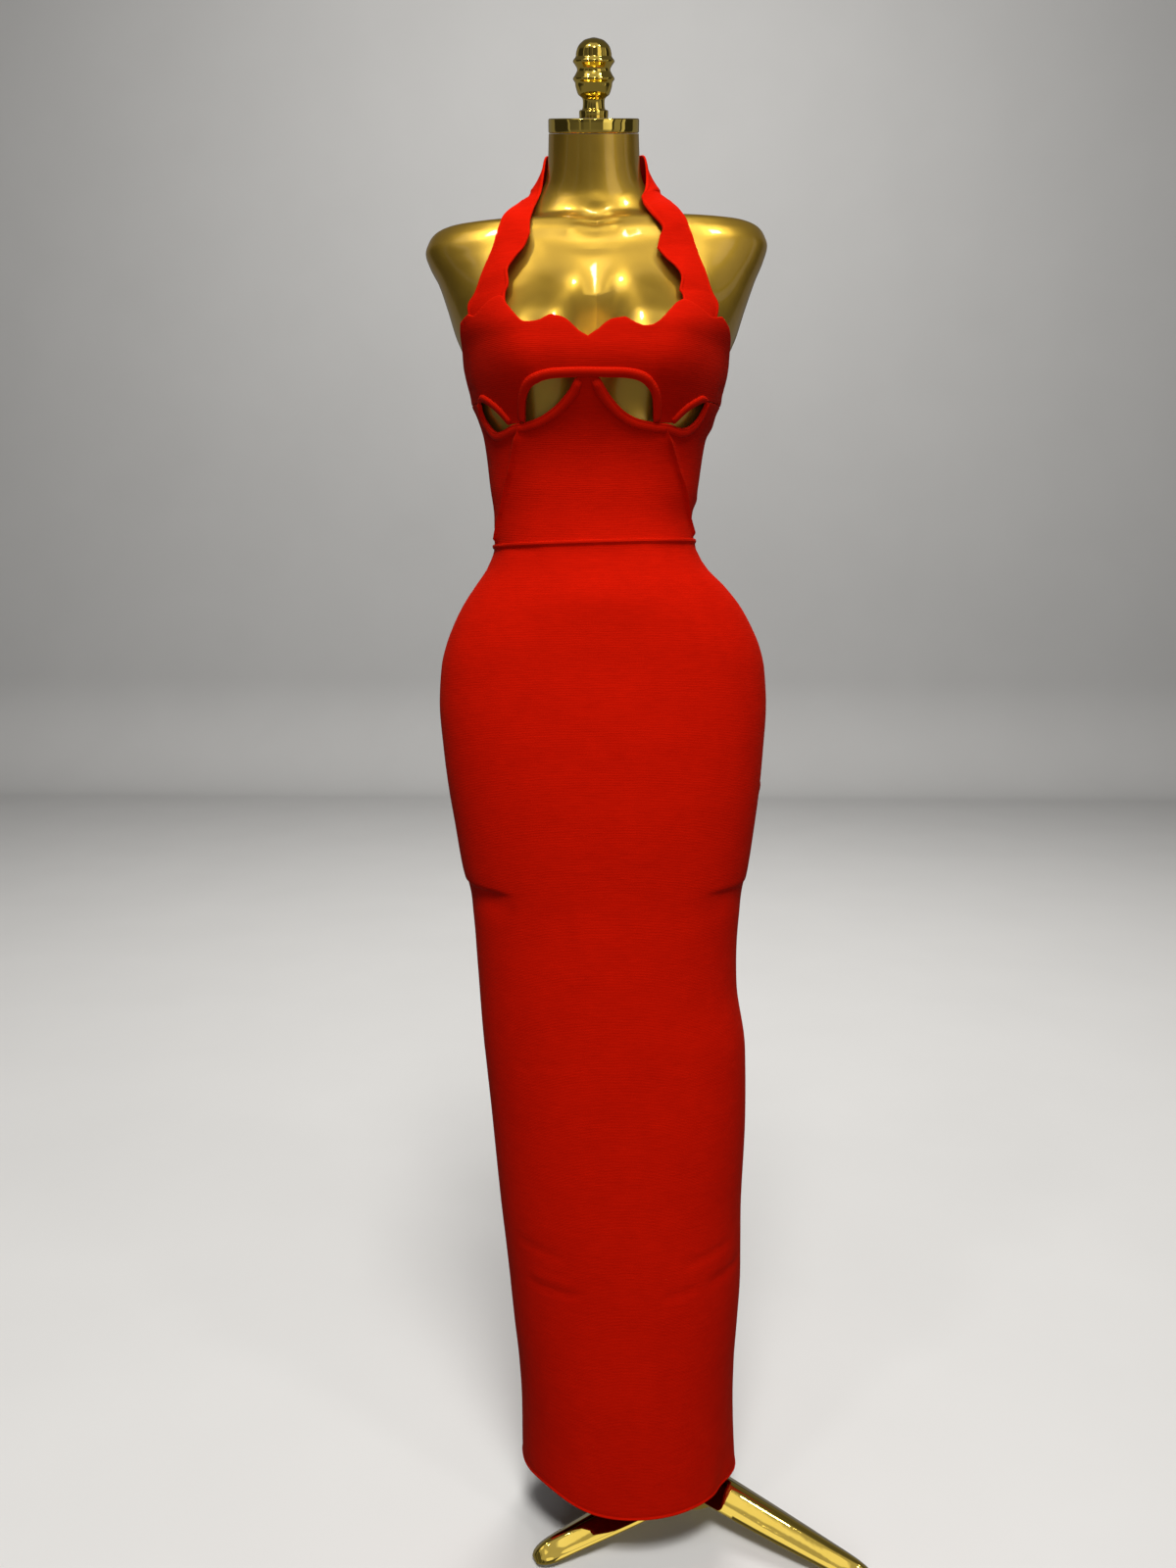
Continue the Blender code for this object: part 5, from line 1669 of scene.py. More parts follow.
@dataclass
class Bindings:
    """Rounded strips that bind the cutouts."""

    step: float = 0.0022
    lift: float = 0.0021
    height: float = 0.0028
    overhang: float = 0.0009
    tab_reach: float = 0.0014

    def section(self, width: float) -> np.ndarray:
        """Closed section: distance from the edge into the cloth, and distance out of the inner face.

        Args:
            width: width of the binding on the cloth.

        Returns:
            Corners of the section, one row each.
        """
        top = self.lift + self.height
        share = np.linspace(0.0, 1.0, 13)
        crown_across = width * (1 - np.cos(share * math.pi)) / 2
        crown_out = self.lift + (top - self.lift) * np.sin(share * math.pi) ** 0.75
        crown = np.column_stack([crown_across, crown_out])[::-1][:-2]
        wrap = [
            (-self.overhang * 0.45, top - 0.0010), (-self.overhang * 0.95, self.lift),
            (-self.overhang, 0.0011), (-self.overhang * 0.8, 0.0003), (-0.00025, 0.0001),
            (-0.00018, 0.0012), (-0.00010, self.lift), (width * 0.5, self.lift),
        ]
        return np.vstack([crown, wrap])

    def strip(
        self, bodice: Bodice, name: str, edge: np.ndarray, width: float, side: int, tips: Pair = (1.0, 1.0),
    ) -> bpy.types.Object:
        """A strip along an edge.

        Args:
            bodice: panels under the strip.
            name: name of the piece.
            edge: flat places of the bound edge.
            width: width of the strip.
            side: 1 where the cloth lies to the left of the edge, -1 to the right.
            tips: share of the width left at each end.

        Returns:
            The piece.
        """
        line = rounded_line(edge, self.step)
        if side < 0:
            end = -1 if tips[0] < tips[1] else 0
            beyond = line[end] - line[end - 1 if end else 1]
            line[end] += beyond / np.hypot(*beyond) * self.tab_reach
        along = np.gradient(line, axis=0)
        along /= np.linalg.norm(along, axis=1)[:, None]
        inward = np.column_stack([-along[:, 1], along[:, 0]]) * side
        length = np.concatenate([[0.0], np.cumsum(np.linalg.norm(np.diff(line, axis=0), axis=1))])
        section = self.section(width)
        rows, ring = len(line), len(section)
        from_end = np.minimum(length, length[-1] - length)
        end_tip = np.where(length < length[-1] / 2, tips[0], tips[1])
        narrow = end_tip + (1 - end_tip) * smooth_step(from_end / 0.012)
        across = np.outer(narrow, section[:, 0])
        round_end = np.sqrt(1 - (1 - np.clip(from_end / 0.0012, 0.0, 1.0)) ** 2)
        out = self.lift + (section[:, 1] - self.lift) * (0.35 + 0.65 * round_end)[:, None]
        tab_low, tab_high = flat_front(MIDRIFF_TAB)[:, 0]
        past_tab = np.maximum(tab_low - line[:, 0], line[:, 0] - tab_high)
        clear = smooth_step((past_tab + 0.001) / 0.004) if side > 0 else np.ones(rows)
        hanging = across < -0.0003
        across = np.where(hanging, across * clear[:, None] - 0.0001 * (1 - clear[:, None]), across)
        flat = line[:, None, :] + inward[:, None, :] * across[:, :, None]
        turns = flat[:, :, 0].ravel() / TURN_LENGTH
        if side < 0:
            out = out + bodice.relief(line)[:, None]
        points = BODY.cloth(turns, flat[:, :, 1].ravel(), out.ravel())
        grid = np.arange(rows * ring).reshape(rows, ring)
        after = np.roll(grid, -1, axis=1)
        sides = np.stack([grid[:-1], after[:-1], after[1:], grid[1:]], axis=2).reshape(-1, 4)
        faces = [*sides.tolist(), grid[0, ::-1].tolist(), grid[-1].tolist()]
        places = np.column_stack([across.ravel(), np.repeat(length, ring)])
        return finish_mesh(name, points, faces, places, smooth_angle=50.0)

    def build(self, bodice: Bodice, finish: BindingFinish) -> list[bpy.types.Object]:
        """All bindings, finished.

        Args:
            bodice: panels that carry them.
            finish: finish of the strips.

        Returns:
            The pieces.
        """
        wide, slim = BINDING_WIDTH, LEAF_BINDING_WIDTH
        rows = (
            ("binding_arch", bodice.arch, wide, 1, (0.9, 0.9), 0.210, "bust_panel"),
            ("binding_leaf_right", bodice.leaf_minus, slim, 1, (0.35, 0.9), 0.052, "bust_panel"),
            ("binding_leaf_left", bodice.leaf_plus, slim, 1, (0.9, 0.35), 0.052, "bust_panel"),
            ("binding_under_right", bodice.under_minus, wide, -1, (0.35, 0.8), 0.140, "midriff_front"),
            ("binding_under_left", bodice.under_plus, wide, -1, (0.8, 0.35), 0.140, "midriff_front"),
        )
        made = []
        for name, edge, width, side, tips, length, on in rows:
            piece = self.strip(bodice, "visual_" + name, edge, width, side, tips)
            stand_for(piece, name, finish)
            1.75 * width
            "visual_" + on
            made.append(piece)
        return made


@dataclass
class Straps:
    """Halter straps from the cups to the back of the neck."""

    # Point of the outer edge, point of the inner edge, and rise of the crown between them.
    minus_x: Rows = (
        (-0.1290, -0.0665, 1.3790, -0.0900, -0.0950, 1.3840, 0.0015),
        (-0.1226, -0.0695, 1.3897, -0.0866, -0.0930, 1.3940, 0.0015),
        (-0.1165, -0.0690, 1.4040, -0.0878, -0.0890, 1.4070, 0.0015),
        (-0.1108, -0.0665, 1.4186, -0.0869, -0.0860, 1.4125, 0.0015),
        (-0.1068, -0.0655, 1.4290, -0.0795, -0.0810, 1.4236, 0.0015),
        (-0.1032, -0.0640, 1.4389, -0.0719, -0.0755, 1.4335, 0.0015),
        (-0.0990, -0.0605, 1.4540, -0.0662, -0.0690, 1.4480, 0.0015),
        (-0.0945, -0.0545, 1.4680, -0.0667, -0.0600, 1.4614, 0.0015),
        (-0.0848, -0.0360, 1.4812, -0.0644, -0.0490, 1.4743, 0.0015),
        (-0.0780, -0.0120, 1.4935, -0.0623, -0.0345, 1.4846, 0.0035),
        (-0.0712, 0.0098, 1.4982, -0.0595, -0.0235, 1.4948, 0.0065),
        (-0.0635, 0.0212, 1.5018, -0.0569, -0.0178, 1.5046, 0.0095),
        (-0.0559, 0.0298, 1.5050, -0.0546, -0.0102, 1.5250, 0.0065),
        (-0.0466, 0.0385, 1.5091, -0.0528, 0.0021, 1.5420, 0.0040),
        (-0.0355, 0.0472, 1.5136, -0.0478, 0.0199, 1.5490, 0.0015),
        (-0.0187, 0.0541, 1.5179, -0.0270, 0.0380, 1.5570, 0.0015),
        (-0.0003, 0.0567, 1.5190, -0.0003, 0.0434, 1.5578, 0.0015),
    )
    plus_x: Rows = (
        (0.1220, -0.0725, 1.3800, 0.0850, -0.0970, 1.3820, 0.0015),
        (0.1165, -0.0735, 1.3910, 0.0814, -0.0935, 1.3890, 0.0015),
        (0.1110, -0.0715, 1.4050, 0.0834, -0.0895, 1.4030, 0.0015),
        (0.1070, -0.0690, 1.4165, 0.0777, -0.0860, 1.4129, 0.0015),
        (0.1025, -0.0665, 1.4290, 0.0690, -0.0805, 1.4215, 0.0015),
        (0.0987, -0.0635, 1.4398, 0.0600, -0.0735, 1.4330, 0.0015),
        (0.0940, -0.0605, 1.4540, 0.0628, -0.0690, 1.4460, 0.0015),
        (0.0895, -0.0555, 1.4670, 0.0652, -0.0650, 1.4551, 0.0030),
        (0.0827, -0.0405, 1.4788, 0.0546, -0.0585, 1.4693, 0.0060),
        (0.0768, -0.0140, 1.4933, 0.0477, -0.0430, 1.4831, 0.0055),
        (0.0696, 0.0074, 1.4989, 0.0454, -0.0360, 1.4927, 0.0090),
        (0.0615, 0.0184, 1.5026, 0.0498, -0.0250, 1.5040, 0.0105),
        (0.0533, 0.0276, 1.5061, 0.0512, -0.0120, 1.5230, 0.0075),
        (0.0438, 0.0371, 1.5097, 0.0491, 0.0010, 1.5430, 0.0025),
        (0.0330, 0.0455, 1.5146, 0.0420, 0.0195, 1.5495, 0.0015),
        (0.0171, 0.0530, 1.5184, 0.0219, 0.0373, 1.5570, 0.0015),
        (0.0003, 0.0566, 1.5190, 0.0003, 0.0433, 1.5578, 0.0015),
    )
    tips: Mapping[str, tuple[int, ...]] = field(default_factory=lambda: {
        "strap_right": (4, 7), "strap_left": (2, 6, 11),
    })
    root: float = 0.0160
    behind: float = 0.0012
    step: float = 0.0026
    inner_columns: int = 6
    roll: float = 0.0005
    ruffle: float = 0.0005

    def behind_cup(self, place: np.ndarray) -> np.ndarray:
        """Place just inside the cup, below the given one.

        Args:
            place: point above the cup, in the row frame.

        Returns:
            The point behind the cup, in the row frame.
        """
        height = np.array([place[2] - self.root])
        turn = BODY.turn_at(place[:1], height)
        return BODY.cloth(turn, height, -self.behind - CLOTH / 2)[0] - BODY.shift

    def strap(self, name: str, rows: Rows, tips: Sequence[int]) -> bpy.types.Object:
        """A strap between its two edges.

        Args:
            name: name of the piece.
            rows: outer edge, inner edge and crown.
            tips: rows where the scalloped inner edge comes to a point.

        Returns:
            The piece.
        """
        table = np.array(rows, float)
        outer = np.vstack([self.behind_cup(table[0, :3]), table[:, :3]])
        inner = np.vstack([self.behind_cup(table[0, 3:6]), table[:, 3:6]])
        bow = np.concatenate([table[:1, 6:], table[:, 6:]])
        both = rounded_line(np.hstack([outer, bow, inner]), self.step, tips, slice(4, 7))
        outer, bow, inner = both[:, :3], both[:, 3:4], both[:, 4:]
        width = np.linalg.norm(inner - outer, axis=1)
        middle = (outer + inner) / 2
        length = np.concatenate([[0.0], np.cumsum(np.linalg.norm(np.diff(middle, axis=0), axis=1))])
        along = np.gradient(middle, axis=0)
        normal = np.cross(along, inner - outer)
        normal /= np.linalg.norm(normal, axis=1)[:, None]
        away = np.sum(normal[:, :2] * middle[:, :2], axis=1)
        normal[away < 0] *= -1
        edge = np.array([*EDGE_ROWS, 0.0020, 0.0032, 0.0044])
        shares = []
        for wide in width:
            near = edge / wide
            inner_shares = np.linspace(near[-1], 1 - near[-1], self.inner_columns + 2)[1:-1]
            shares.append(np.concatenate([near, inner_shares, 1 - near[::-1]]))
        across = np.array(shares)
        rows_made, columns = across.shape
        side = np.minimum(across, 1 - across) * width[:, None]
        tip = np.minimum(length, length[-1] - length)[:, None]
        edge_distance = np.minimum(side, np.maximum(tip, 0.0))
        high, low = wall_out(edge_distance, CLOTH)
        crown = bow * 4 * across * (1 - across)
        roll = self.roll * smooth_step((0.0030 - side) / 0.0008)
        roll = roll - 0.0004 * np.exp(-(((side - 0.0036) / 0.0007) ** 2))
        ruffle = self.ruffle * np.sin(length[:, None] / 0.0062 + 4 * across) * smooth_step(1 - across / 0.5)
        shared = crown + ruffle - CLOTH / 2
        on_edge = (edge_distance <= 0).ravel()
        base = outer[:, None, :] + (inner - outer)[:, None, :] * across[:, :, None]
        high = np.where(edge_distance <= 0, high, high + roll * smooth_step(side / 0.0006))
        outside = base + normal[:, None, :] * (high + shared)[:, :, None]
        inside = base + normal[:, None, :] * (low + shared)[:, :, None]
        outside = outside.reshape(-1, 3) + BODY.shift
        inside = inside.reshape(-1, 3) + BODY.shift
        places = np.column_stack([(across * width[:, None]).ravel(), np.repeat(length, columns)])
        return shell_piece(
            name, outside, inside, grid_cells(rows_made, columns), on_edge, places, edge_distance.ravel(),
        )

    def build(self, knit: KnitFinish) -> list[bpy.types.Object]:
        """Both straps, finished.

        Args:
            knit: finish of the cloth.

        Returns:
            The pieces.
        """
        made = []
        for name, rows, area in (("strap_right", self.minus_x, 0.0106), ("strap_left", self.plus_x, 0.0112)):
            piece = self.strap("visual_" + name, rows, self.tips[name])
            stand_for(piece, name, knit)
            made.append(piece)
        return made


# ---- The form and its stand ----


def grow_stack(name: str, sides: int, rings: int) -> bpy.types.Object:
    """A closed column grown from a primitive by extruding its top once for each further ring.

    Args:
        name: name of the piece.
        sides: faces around it.
        rings: rings of corners, one above the other at whole heights.

    Returns:
        The object.
    """
    bpy.ops.object.select_all(action="DESELECT")
    bpy.ops.mesh.primitive_cylinder_add(vertices=sides, radius=1.0, depth=1.0, location=(0.0, 0.0, 0.5))
    item = bpy.context.active_object
    item.name = name
    item.data.name = name
    bpy.ops.object.transform_apply(location=True)
    bpy.ops.object.mode_set(mode="EDIT")
    bpy.ops.mesh.select_mode(type="FACE")
    bpy.ops.mesh.select_all(action="DESELECT")
    bpy.ops.object.mode_set(mode="OBJECT")
    top = max(item.data.polygons, key=lambda face: face.center.z)
    top.select = True
    bpy.ops.object.mode_set(mode="EDIT")
    for _ in range(rings - 2):
        bpy.ops.mesh.extrude_region_move(TRANSFORM_OT_translate={"value": (0.0, 0.0, 1.0)})
    bpy.ops.object.mode_set(mode="OBJECT")
    return item


def shape_stack(item: bpy.types.Object, places: np.ndarray, smooth_angle: float = 40.0) -> bpy.types.Object:
    """Give a grown column its form.

    Args:
        item: the column.
        places: a point for each ring and side.
        smooth_angle: edges sharper than this many degrees stay sharp.

    Returns:
        The object.
    """
    sides = places.shape[1]
    corners = np.zeros(len(item.data.vertices) * 3)
    item.data.vertices.foreach_get("co", corners)
    corners = corners.reshape(-1, 3)
    ring = np.rint(corners[:, 2]).astype(int)
    turn = np.arctan2(corners[:, 1], corners[:, 0])
    side = np.rint(turn / (2 * math.pi) * sides).astype(int) % sides
    item.data.vertices.foreach_set("co", places[ring, side].ravel())
    item.data.update()
    bpy.ops.object.select_all(action="DESELECT")
    item.select_set(True)
    bpy.context.view_layer.objects.active = item
    bpy.ops.object.mode_set(mode="EDIT")
    bpy.ops.mesh.select_all(action="SELECT")
    bpy.ops.mesh.normals_make_consistent(inside=False)
    bpy.ops.object.mode_set(mode="OBJECT")
    item.data.shade_smooth()
    item.data.set_sharp_from_angle(angle=math.radians(smooth_angle))
    item.select_set(False)
    return item


def turned_places(profile: np.ndarray, centre: Pair, sides: int) -> np.ndarray:
    """Points of a turned part.

    Args:
        profile: radii and heights.
        centre: its axis in the row frame.
        sides: faces around it.

    Returns:
        A point for each ring and side.
    """
    angle = np.linspace(0.0, 2 * math.pi, sides, endpoint=False)
    x = centre[0] + profile[:, :1] * np.cos(angle)
    y = centre[1] + profile[:, :1] * np.sin(angle)
    return np.stack([x, y, np.repeat(profile[:, 1:], sides, axis=1)], axis=2)


def rounded_edges(
    radius: float, low: float, high: float, edge: float, steps: int,
) -> tuple[np.ndarray, np.ndarray]:
    """Radii and heights along the two rounded edges of a short cylinder.

    Args:
        radius: its radius.
        low: height of its underside.
        high: height of its top.
        edge: radius of the rounding.
        steps: places along each edge.

    Returns:
        The lower edge and the upper edge.
    """
    quarter = np.linspace(0.0, math.pi / 2, steps)
    sine, cosine = np.sin(quarter), np.cos(quarter)
    inner = radius - edge
    foot = np.column_stack([inner + edge * sine, low + edge * (1 - cosine)])
    head = np.column_stack([inner + edge * cosine, high - edge * (1 - sine)])
    return foot, head


def turned_piece(name: str, profile: np.ndarray, centre: Pair, sides: int) -> bpy.types.Object:
    """A turned part, grown ring by ring.

    Args:
        name: name of the piece.
        profile: radii and heights.
        centre: its axis in the row frame.
        sides: faces around it.

    Returns:
        The piece.
    """
    item = grow_stack(name, sides, len(profile))
    return shape_stack(item, turned_places(profile, centre, sides))


@dataclass
class Torso:
    """The limbless form."""

    sides: int = 144
    edge_round: float = 0.0180
    edge_steps: int = 5
    # Lowest and highest height, and distance between rings.
    spans: Rows = (
        (0.787, 1.2650, 0.0090), (1.2650, 1.4360, 0.0036),
        (1.4360, 1.4860, 0.0017), (1.4860, NECK_TOP, 0.0060),
    )

    def heights(self) -> np.ndarray:
        """Heights of the rings above the rounded lower edge."""
        levels = [np.arange(low, high - 0.0004, step) for low, high, step in self.spans]
        return np.concatenate([*levels, [NECK_TOP]])

    def build(self, lacquer: LacquerFinish) -> bpy.types.Object:
        """The finished form.

        Args:
            lacquer: its finish.

        Returns:
            The piece.
        """
        around = np.linspace(0.0, 360.0, self.sides, endpoint=False)
        turns = (around + 90.0 + 180.0) % 360.0 - 180.0
        rings = []
        for step in range(self.edge_steps + 1):
            angle = step * math.pi / (2 * self.edge_steps)
            inset = self.edge_round * (1 - math.sin(angle))
            height = FORM_EDGE + self.edge_round * (1 - math.cos(angle))
            rings.append(BODY.form_surface(turns, np.full(self.sides, height), inset))
        for height in self.heights():
            rings.append(BODY.form_surface(turns, np.full(self.sides, height)))
        places = np.stack(rings)
        item = shape_stack(grow_stack("visual_dress_form", self.sides, len(places)), places, 50.0)
        stand_for(item, "dress_form", lacquer)
        return item


@dataclass
class NeckCap:
    """Round cap on the neck with its turned finial."""

    radius: float = 0.0466
    thick: float = 0.0134
    edge: float = 0.0016
    disc_sides: int = 128
    finial_sides: int = 72
    finial_step: float = 0.0011
    # Radii and heights above the cap.
    finial: Rows = (
        (0.0147, 0.0000), (0.0147, 0.0066), (0.0116, 0.0083), (0.0114, 0.0170), (0.0159, 0.0212),
        (0.0184, 0.0280), (0.0190, 0.0316), (0.0211, 0.0350), (0.0190, 0.0383), (0.0170, 0.0420),
        (0.0170, 0.0442), (0.0189, 0.0472), (0.0210, 0.0505), (0.0182, 0.0545), (0.0178, 0.0577),
        (0.0155, 0.0637), (0.0100, 0.0686), (0.0035, 0.0706),
    )

    def on_neck(self, places: np.ndarray) -> np.ndarray:
        """Points turned about the upright at the origin, moved on to the top of the leaning neck.

        Args:
            places: points, one row each.

        Returns:
            The moved points.
        """
        angle = math.atan(NECK_LEAN)
        middle = float(BODY.form.at(np.array([NECK_TOP]))[0, 0])
        forward = NECK_LEAN * (NECK_TOP - NECK_BEND) * 2 / 3
        top = np.array([middle, NECK_Y - forward, NECK_TOP + middle * NECK_RISE]) + BODY.shift
        across = np.array([1.0, 0.0, NECK_RISE]) / math.hypot(1.0, NECK_RISE)
        behind = np.array([0.0, math.cos(angle), math.sin(angle)])
        upwards = np.cross(across, behind)
        return top + places @ np.vstack([across, behind, upwards / np.linalg.norm(upwards)])

    def piece(self, name: str, profile: np.ndarray, sides: int) -> bpy.types.Object:
        """A turned piece on the neck.

        Args:
            name: name of the piece.
            profile: radii and heights above the neck.
            sides: faces around it.

        Returns:
            The piece.
        """
        places = self.on_neck(turned_places(profile, (0.0, 0.0), sides))
        return shape_stack(grow_stack(name, sides, len(profile)), places)

    def build(self, gold: PolishedGoldFinish) -> list[bpy.types.Object]:
        """Cap and finial.

        Args:
            gold: their finish.

        Returns:
            The pieces.
        """
        low = SEAM_GAP
        high = low + self.thick
        foot, head = rounded_edges(self.radius, low, high, self.edge, 5)
        side = [(self.radius, low + share * self.thick) for share in (0.3, 0.5, 0.7)]
        profile = np.vstack([[(0.040, low)], foot, side, head, [(0.034, high), (0.020, high)]])
        disc = self.piece("visual_neck_disc", profile, self.disc_sides)
        stand_for(disc, "neck_disc", gold)
        turned = rounded_line(np.array(self.finial), self.finial_step) + (0.0, high + SEAM_GAP)
        tip = turned[-1:] * (0.25, 1.0) + (0.0, 0.0004)
        finial = self.piece("visual_finial", np.vstack([turned, tip]), self.finial_sides)
        stand_for(finial, "finial", gold)
        return [disc, finial]


@dataclass
class Stand:
    """Hub, three legs and their foot pads."""

    legs: Mapping[str, Pair] = field(default_factory=lambda: {
        "plus_x": (-34.4, 0.2300), "minus_x": (207.6, 0.2110), "behind": (98.0, 0.2200),
    })
    # Distance from the hub's axis, half width, heights of ridge, side edge and underside.
    rows: Rows = (
        (0.0325, 0.0290, 0.0540, 0.0340, 0.0280),
        (0.1000, 0.0255, 0.0420, 0.0245, 0.0185),
        (0.1650, 0.0205, 0.0305, 0.0160, 0.0105),
        (0.1900, 0.0185, 0.0265, 0.0125, 0.0060),
        (0.2030, 0.0165, 0.0235, 0.0100, 0.0045),
        (0.2120, 0.0125, 0.0185, 0.0085, 0.0045),
        (0.2170, 0.0070, 0.0125, 0.0070, 0.0047),
    )
    hub_radius: float = 0.0322
    hub_low: float = 0.0150
    hub_high: float = 0.0600
    hub_edge: float = 0.0030
    hub_sides: int = 64
    leg_sides: int = 24
    leg_step: float = 0.0040
    pad_sides: int = 48
    pad_radius: float = 0.0110
    pad_thick: float = 0.0040
    pad_before_tip: float = 0.0150

    def leg(self, name: str, direction: float, length: float) -> bpy.types.Object:
        """A tapered leg with a rounded ridge and a turned-down foot.

        Args:
            name: name of the piece.
            direction: degrees around the hub.
            length: reach from the hub's axis.

        Returns:
            The piece.
        """
        table = np.array(self.rows, float)
        stretch = (length - table[0, 0]) / (table[-1, 0] - table[0, 0])
        table[:, 0] = table[0, 0] + (table[:, 0] - table[0, 0]) * stretch
        table = rounded_line(table, self.leg_step)
        along = np.array([math.cos(math.radians(direction)), math.sin(math.radians(direction)), 0.0])
        across = np.array([-along[1], along[0], 0.0])
        hub = np.array([STAND_X, STAND_Y, 0.0]) + BODY.shift
        upright = np.array([0.0, 0.0, 1.0])
        places = np.zeros((len(table), self.leg_sides, 3))
        for index, (reach, half, ridge, edge, under) in enumerate(table):
            crown = ridge - (ridge - edge) * 0.10
            outline = np.array([
                (half, edge), (half * 0.60, edge + (crown - edge) * 0.44), (half * 0.20, crown), (0.0, ridge),
                (-half * 0.20, crown), (-half * 0.60, edge + (crown - edge) * 0.44), (-half, edge),
                (-half * 0.94, under + (edge - under) * 0.30), (-half * 0.80, under), (0.0, under),
                (half * 0.80, under), (half * 0.94, under + (edge - under) * 0.30),
            ])
            ring = self.softened(outline)
            places[index] = hub + along * reach + across * ring[:, :1] + upright * ring[:, 1:]
        return shape_stack(grow_stack(name, self.leg_sides, len(places)), places, 60.0)

    @staticmethod
    def softened(outline: np.ndarray) -> np.ndarray:
        """An outline of 12 corners cut once into 24, so that they are rounded.

        Args:
            outline: corners, one row each.

        Returns:
            The new corners.
        """
        after = np.roll(outline, -1, axis=0)
        first, second = outline * 0.75 + after * 0.25, outline * 0.25 + after * 0.75
        return np.stack([first, second], axis=1).reshape(-1, 2)

    def build(self, gold: PolishedGoldFinish, pad: ClearPadFinish) -> list[bpy.types.Object]:
        """The whole stand.

        Args:
            gold: finish of the metal.
            pad: finish of the foot pads.

        Returns:
            The pieces.
        """
        for node in ("pole", "pole_socket"):
            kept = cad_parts[node]
            for slot in kept.material_slots:
                slot.material = bpy.data.materials[gold.name]
        centre = (STAND_X + float(BODY.shift[0]), STAND_Y + float(BODY.shift[1]))
        low, high = self.hub_low, self.hub_high
        foot, head = rounded_edges(self.hub_radius, low, high, self.hub_edge, 6)
        profile = np.vstack([[(0.012, low), (0.026, low)], foot, head, [(0.020, high)]])
        hub = turned_piece("visual_base_hub", profile, centre, self.hub_sides)
        stand_for(hub, "base_hub", gold)
        made = [hub]
        for name, (direction, length) in self.legs.items():
            leg = self.leg("visual_leg_" + name, direction, length)
            stand_for(leg, "leg_" + name, gold)
            reach = length - self.pad_before_tip
            place = (
                centre[0] + reach * math.cos(math.radians(direction)),
                centre[1] + reach * math.sin(math.radians(direction)),
            )
            radius, thick = self.pad_radius, self.pad_thick
            rim = [
                (radius - 0.0030, 0.0), (radius - 0.0008, 0.0), (radius - 0.0002, 0.0003), (radius, 0.0010),
                (radius, thick - 0.0010), (radius - 0.0003, thick - 0.0003), (radius - 0.0010, thick),
                (radius * 0.5, thick),
            ]
            foot_pad = turned_piece("visual_foot_pad_" + name, np.array(rim), place, self.pad_sides)
            stand_for(foot_pad, "foot_pad_" + name, pad)
            made += [leg, foot_pad]
        return made


# ---- Floor, light and camera ----


@dataclass(frozen=True)
class Lamp:
    """A square area lamp."""

    name: str
    place: Triple
    target: Triple
    size: float
    watts: float
    mirrored: bool = False
    colour: Triple = (1.0, 0.985, 0.96)

    def build(self) -> None:
        """Add the lamp to the scene."""
        light = bpy.data.lights.new(self.name, "AREA")
        light.energy = self.watts
        light.size = self.size
        light.color = self.colour
        item = bpy.data.objects.new(self.name, light)
        item.location = self.place
        item.rotation_euler = (Vector(self.target) - Vector(self.place)).to_track_quat("-Z", "Y").to_euler()
        item.visible_glossy = self.mirrored
        bpy.context.scene.collection.objects.link(item)


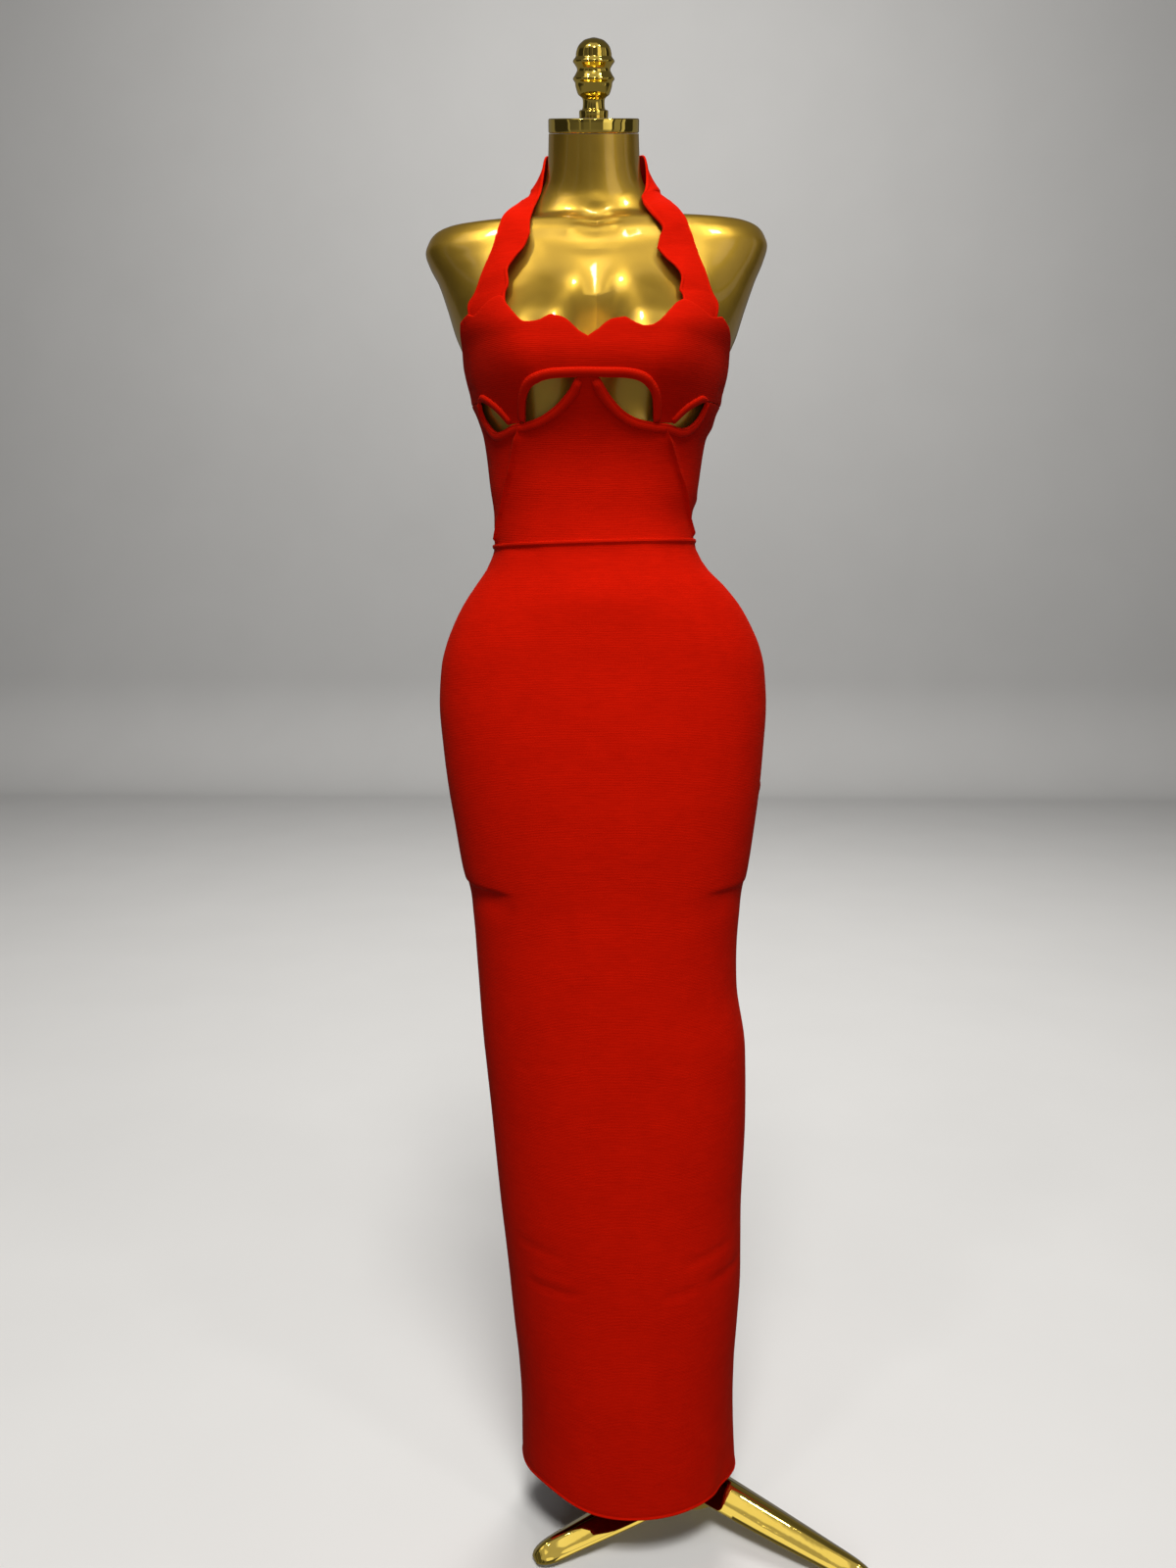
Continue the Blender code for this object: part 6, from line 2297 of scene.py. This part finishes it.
@dataclass
class Studio:
    """Pale floor, soft light and the camera."""

    lamps: tuple[Lamp, ...] = (
        Lamp("ceiling_softbox", (0.0, -2.2, 4.60), (0.0, 0.0, 0.9), 1.2, 162.0),
        Lamp("front_fill", (0.1, -3.4, 1.1), (0.0, 0.0, 0.6), 1.5, 26.0),
        Lamp("wall_wash", (0.0, 1.9, 4.90), (0.0, 5.2, 1.2), 1.6, 120.0),
        Lamp("back_fill", (0.5, 2.6, 3.90), (0.0, 0.0, 0.8), 1.2, 55.0),
        Lamp("spark_minus_x", (-0.70, -0.95, 2.9), (0.0, 0.0, 1.4), 0.16, 5.0, True),
        Lamp("spark_plus_x", (0.75, -0.95, 2.9), (0.0, 0.0, 1.4), 0.16, 5.0, True),
        Lamp("spark_ahead", (0.05, -1.9, 2.8), (0.0, 0.0, 1.4), 0.22, 5.0, True),
    )
    # What polished metal sees around it: direction in degrees (0 ahead, 90 at +X), half width, brightness.
    strips: Rows = (
        (36.5, 12.5, 1.05), (63.0, 10.0, 0.22), (81.0, 5.0, 0.45), (137.0, 23.0, 0.14),
        (-139.0, 25.0, 0.14), (-66.0, 2.5, 0.20), (-36.0, 2.5, 0.14), (-9.0, 2.0, 0.14),
        (180.0, 14.0, 0.14), (-180.0, 14.0, 0.14), (0.0, 28.0, 0.055), (-52.0, 20.0, 0.050),
    )
    ambient: float = 0.07
    sweep: float = 0.6
    camera_place: Triple = (-0.006, -1.38, 1.094)
    camera_tilt: float = 81.26
    camera_roll: float = 0.0049
    lens: float = 28.6

    def build(self) -> None:
        """Add everything around the object."""
        for lamp in self.lamps:
            lamp.build()
        self.floor()
        self.surroundings()
        self.camera()

    def floor(self) -> None:
        """A pale floor that sweeps up behind the object."""
        bpy.ops.object.select_all(action="DESELECT")
        bpy.ops.mesh.primitive_plane_add(size=16.0, location=(0.0, -2.8, 0.0))
        floor = bpy.context.active_object
        floor.name = "floor"
        bpy.ops.object.mode_set(mode="EDIT")
        bpy.ops.mesh.select_mode(type="EDGE")
        bpy.ops.mesh.select_all(action="DESELECT")
        bpy.ops.object.mode_set(mode="OBJECT")
        for edge in floor.data.edges:
            edge.select = all(floor.data.vertices[end].co.y > 0 for end in edge.vertices)
        bpy.ops.object.mode_set(mode="EDIT")
        angles = np.linspace(0.0, math.pi / 2, 17)
        arc = np.column_stack([np.sin(angles), 1 - np.cos(angles)]) * self.sweep
        for across, up in [*np.diff(arc, axis=0).tolist(), (0.0, 5.0)]:
            bpy.ops.mesh.extrude_region_move(TRANSFORM_OT_translate={"value": (0.0, across, up)})
        bpy.ops.object.mode_set(mode="OBJECT")
        bpy.ops.object.transform_apply(location=True)
        floor.data.shade_smooth()
        floor.visible_glossy = False
        floor.visible_diffuse = False
        floor.data.materials.append(bpy.data.materials[FloorFinish.name])

    def surroundings(self) -> None:
        """A dim room for the cloth, and bright strips that the gold reflects."""
        world = bpy.data.worlds.new("studio")
        bpy.context.scene.world = world
        world.use_nodes = True
        world.cycles.sampling_method = "NONE"
        graph = Graph(world.node_tree)
        seen = graph.node("ShaderNodeTexCoord").outputs["Generated"]
        x, y, z = graph.parts(Socket(graph, seen))
        around = graph.maths("ARCTAN2", x, 0.0 - y) * (180 / math.pi)
        level: Socket | float = 0.028
        for centre, half_width, bright in self.strips:
            away = graph.maths("ABSOLUTE", around - centre)
            level = level + bright * (1.0 - graph.ramp(away, half_width * 0.85, half_width))
        high = graph.maths("MAXIMUM", z, 0.15)
        rows = (x / high * 5.2 + 1.6).sine() * (y / high * 4.4 + 0.9).sine()
        aside = graph.maths("MAXIMUM", around, around * -0.7)
        ahead = (1.0 - graph.ramp(aside, 36.0, 50.0)) * (1.0 - graph.ramp(z, 0.93, 0.985))
        ceiling = 0.09 + ahead * (0.36 + 1.10 * graph.ramp(rows, 0.15, 0.45))
        upper = graph.ramp(z, 0.46, 0.62)
        lower = graph.ramp(0.0 - z, 0.15, 0.45)
        level = level * (1.0 - upper) + ceiling * upper
        level = level * (1.0 - lower) + 0.16 * lower
        reflected = graph.mix(level.held(), rgb(0.0, 0.0, 0.0), rgb(1.0, 0.98, 0.94))
        path = graph.node("ShaderNodeLightPath")
        diffuse = Socket(graph, path.outputs["Is Diffuse Ray"])
        camera_sees = Socket(graph, path.outputs["Is Camera Ray"])
        colour = graph.mix(diffuse, reflected, rgb(self.ambient, self.ambient, self.ambient))
        colour = graph.mix(camera_sees, colour, rgb(0.50, 0.50, 0.50))
        background = graph.node("ShaderNodeBackground", inputs={"Color": colour, "Strength": 1.0})
        end = graph.node("ShaderNodeOutputWorld")
        graph.tree.links.new(background.outputs[0], end.inputs[0])

    def camera(self) -> None:
        """The camera, at the height of the waist in front of the dress."""
        lens = bpy.data.cameras.new("camera")
        lens.sensor_fit = "VERTICAL"
        lens.sensor_height = 36.0
        lens.lens = self.lens
        item = bpy.data.objects.new("camera", lens)
        item.location = Vector(self.camera_place) + Vector(BODY.shift)
        aim = Euler((math.radians(self.camera_tilt), 0.0, 0.0)).to_matrix()
        roll = Euler((0.0, 0.0, self.camera_roll)).to_matrix()
        item.rotation_euler = (aim @ roll).to_euler()
        bpy.context.scene.collection.objects.link(item)
        bpy.context.scene.camera = item


def corners(box: tuple[Vector, Vector]) -> list[list[float]]:
    """A box as plain lists."""
    return [[float(value) for value in corner] for corner in box]


def report(pieces: Iterable[bpy.types.Object]) -> None:
    """Log the name and the size of each piece."""
    for piece in pieces:
        LOG.info("%s built, %d faces", piece.name, len(piece.data.polygons))


def main() -> None:
    """Build the studio, the form, its stand and the dress, and report each piece."""
    logging.basicConfig(level=logging.INFO, format="%(message)s")
    knit, binding, lacquer = KnitFinish(), BindingFinish(), LacquerFinish()
    gold, pad, pale = PolishedGoldFinish(), ClearPadFinish(), FloorFinish()
    for finish in (knit, binding, lacquer, gold, pad, pale):
        finish.material()
    bpy.context.scene.view_settings.view_transform = "Standard"
    Studio().build()
    report([Torso().build(lacquer)])
    report(NeckCap().build(gold))
    report(Stand().build(gold, pad))
    report(Skirt().build(knit))
    bodice = Bodice()
    report(bodice.build(knit))
    report(Bindings().build(bodice, binding))
    report(Straps().build(knit))


if __name__ == "__main__":
    main()
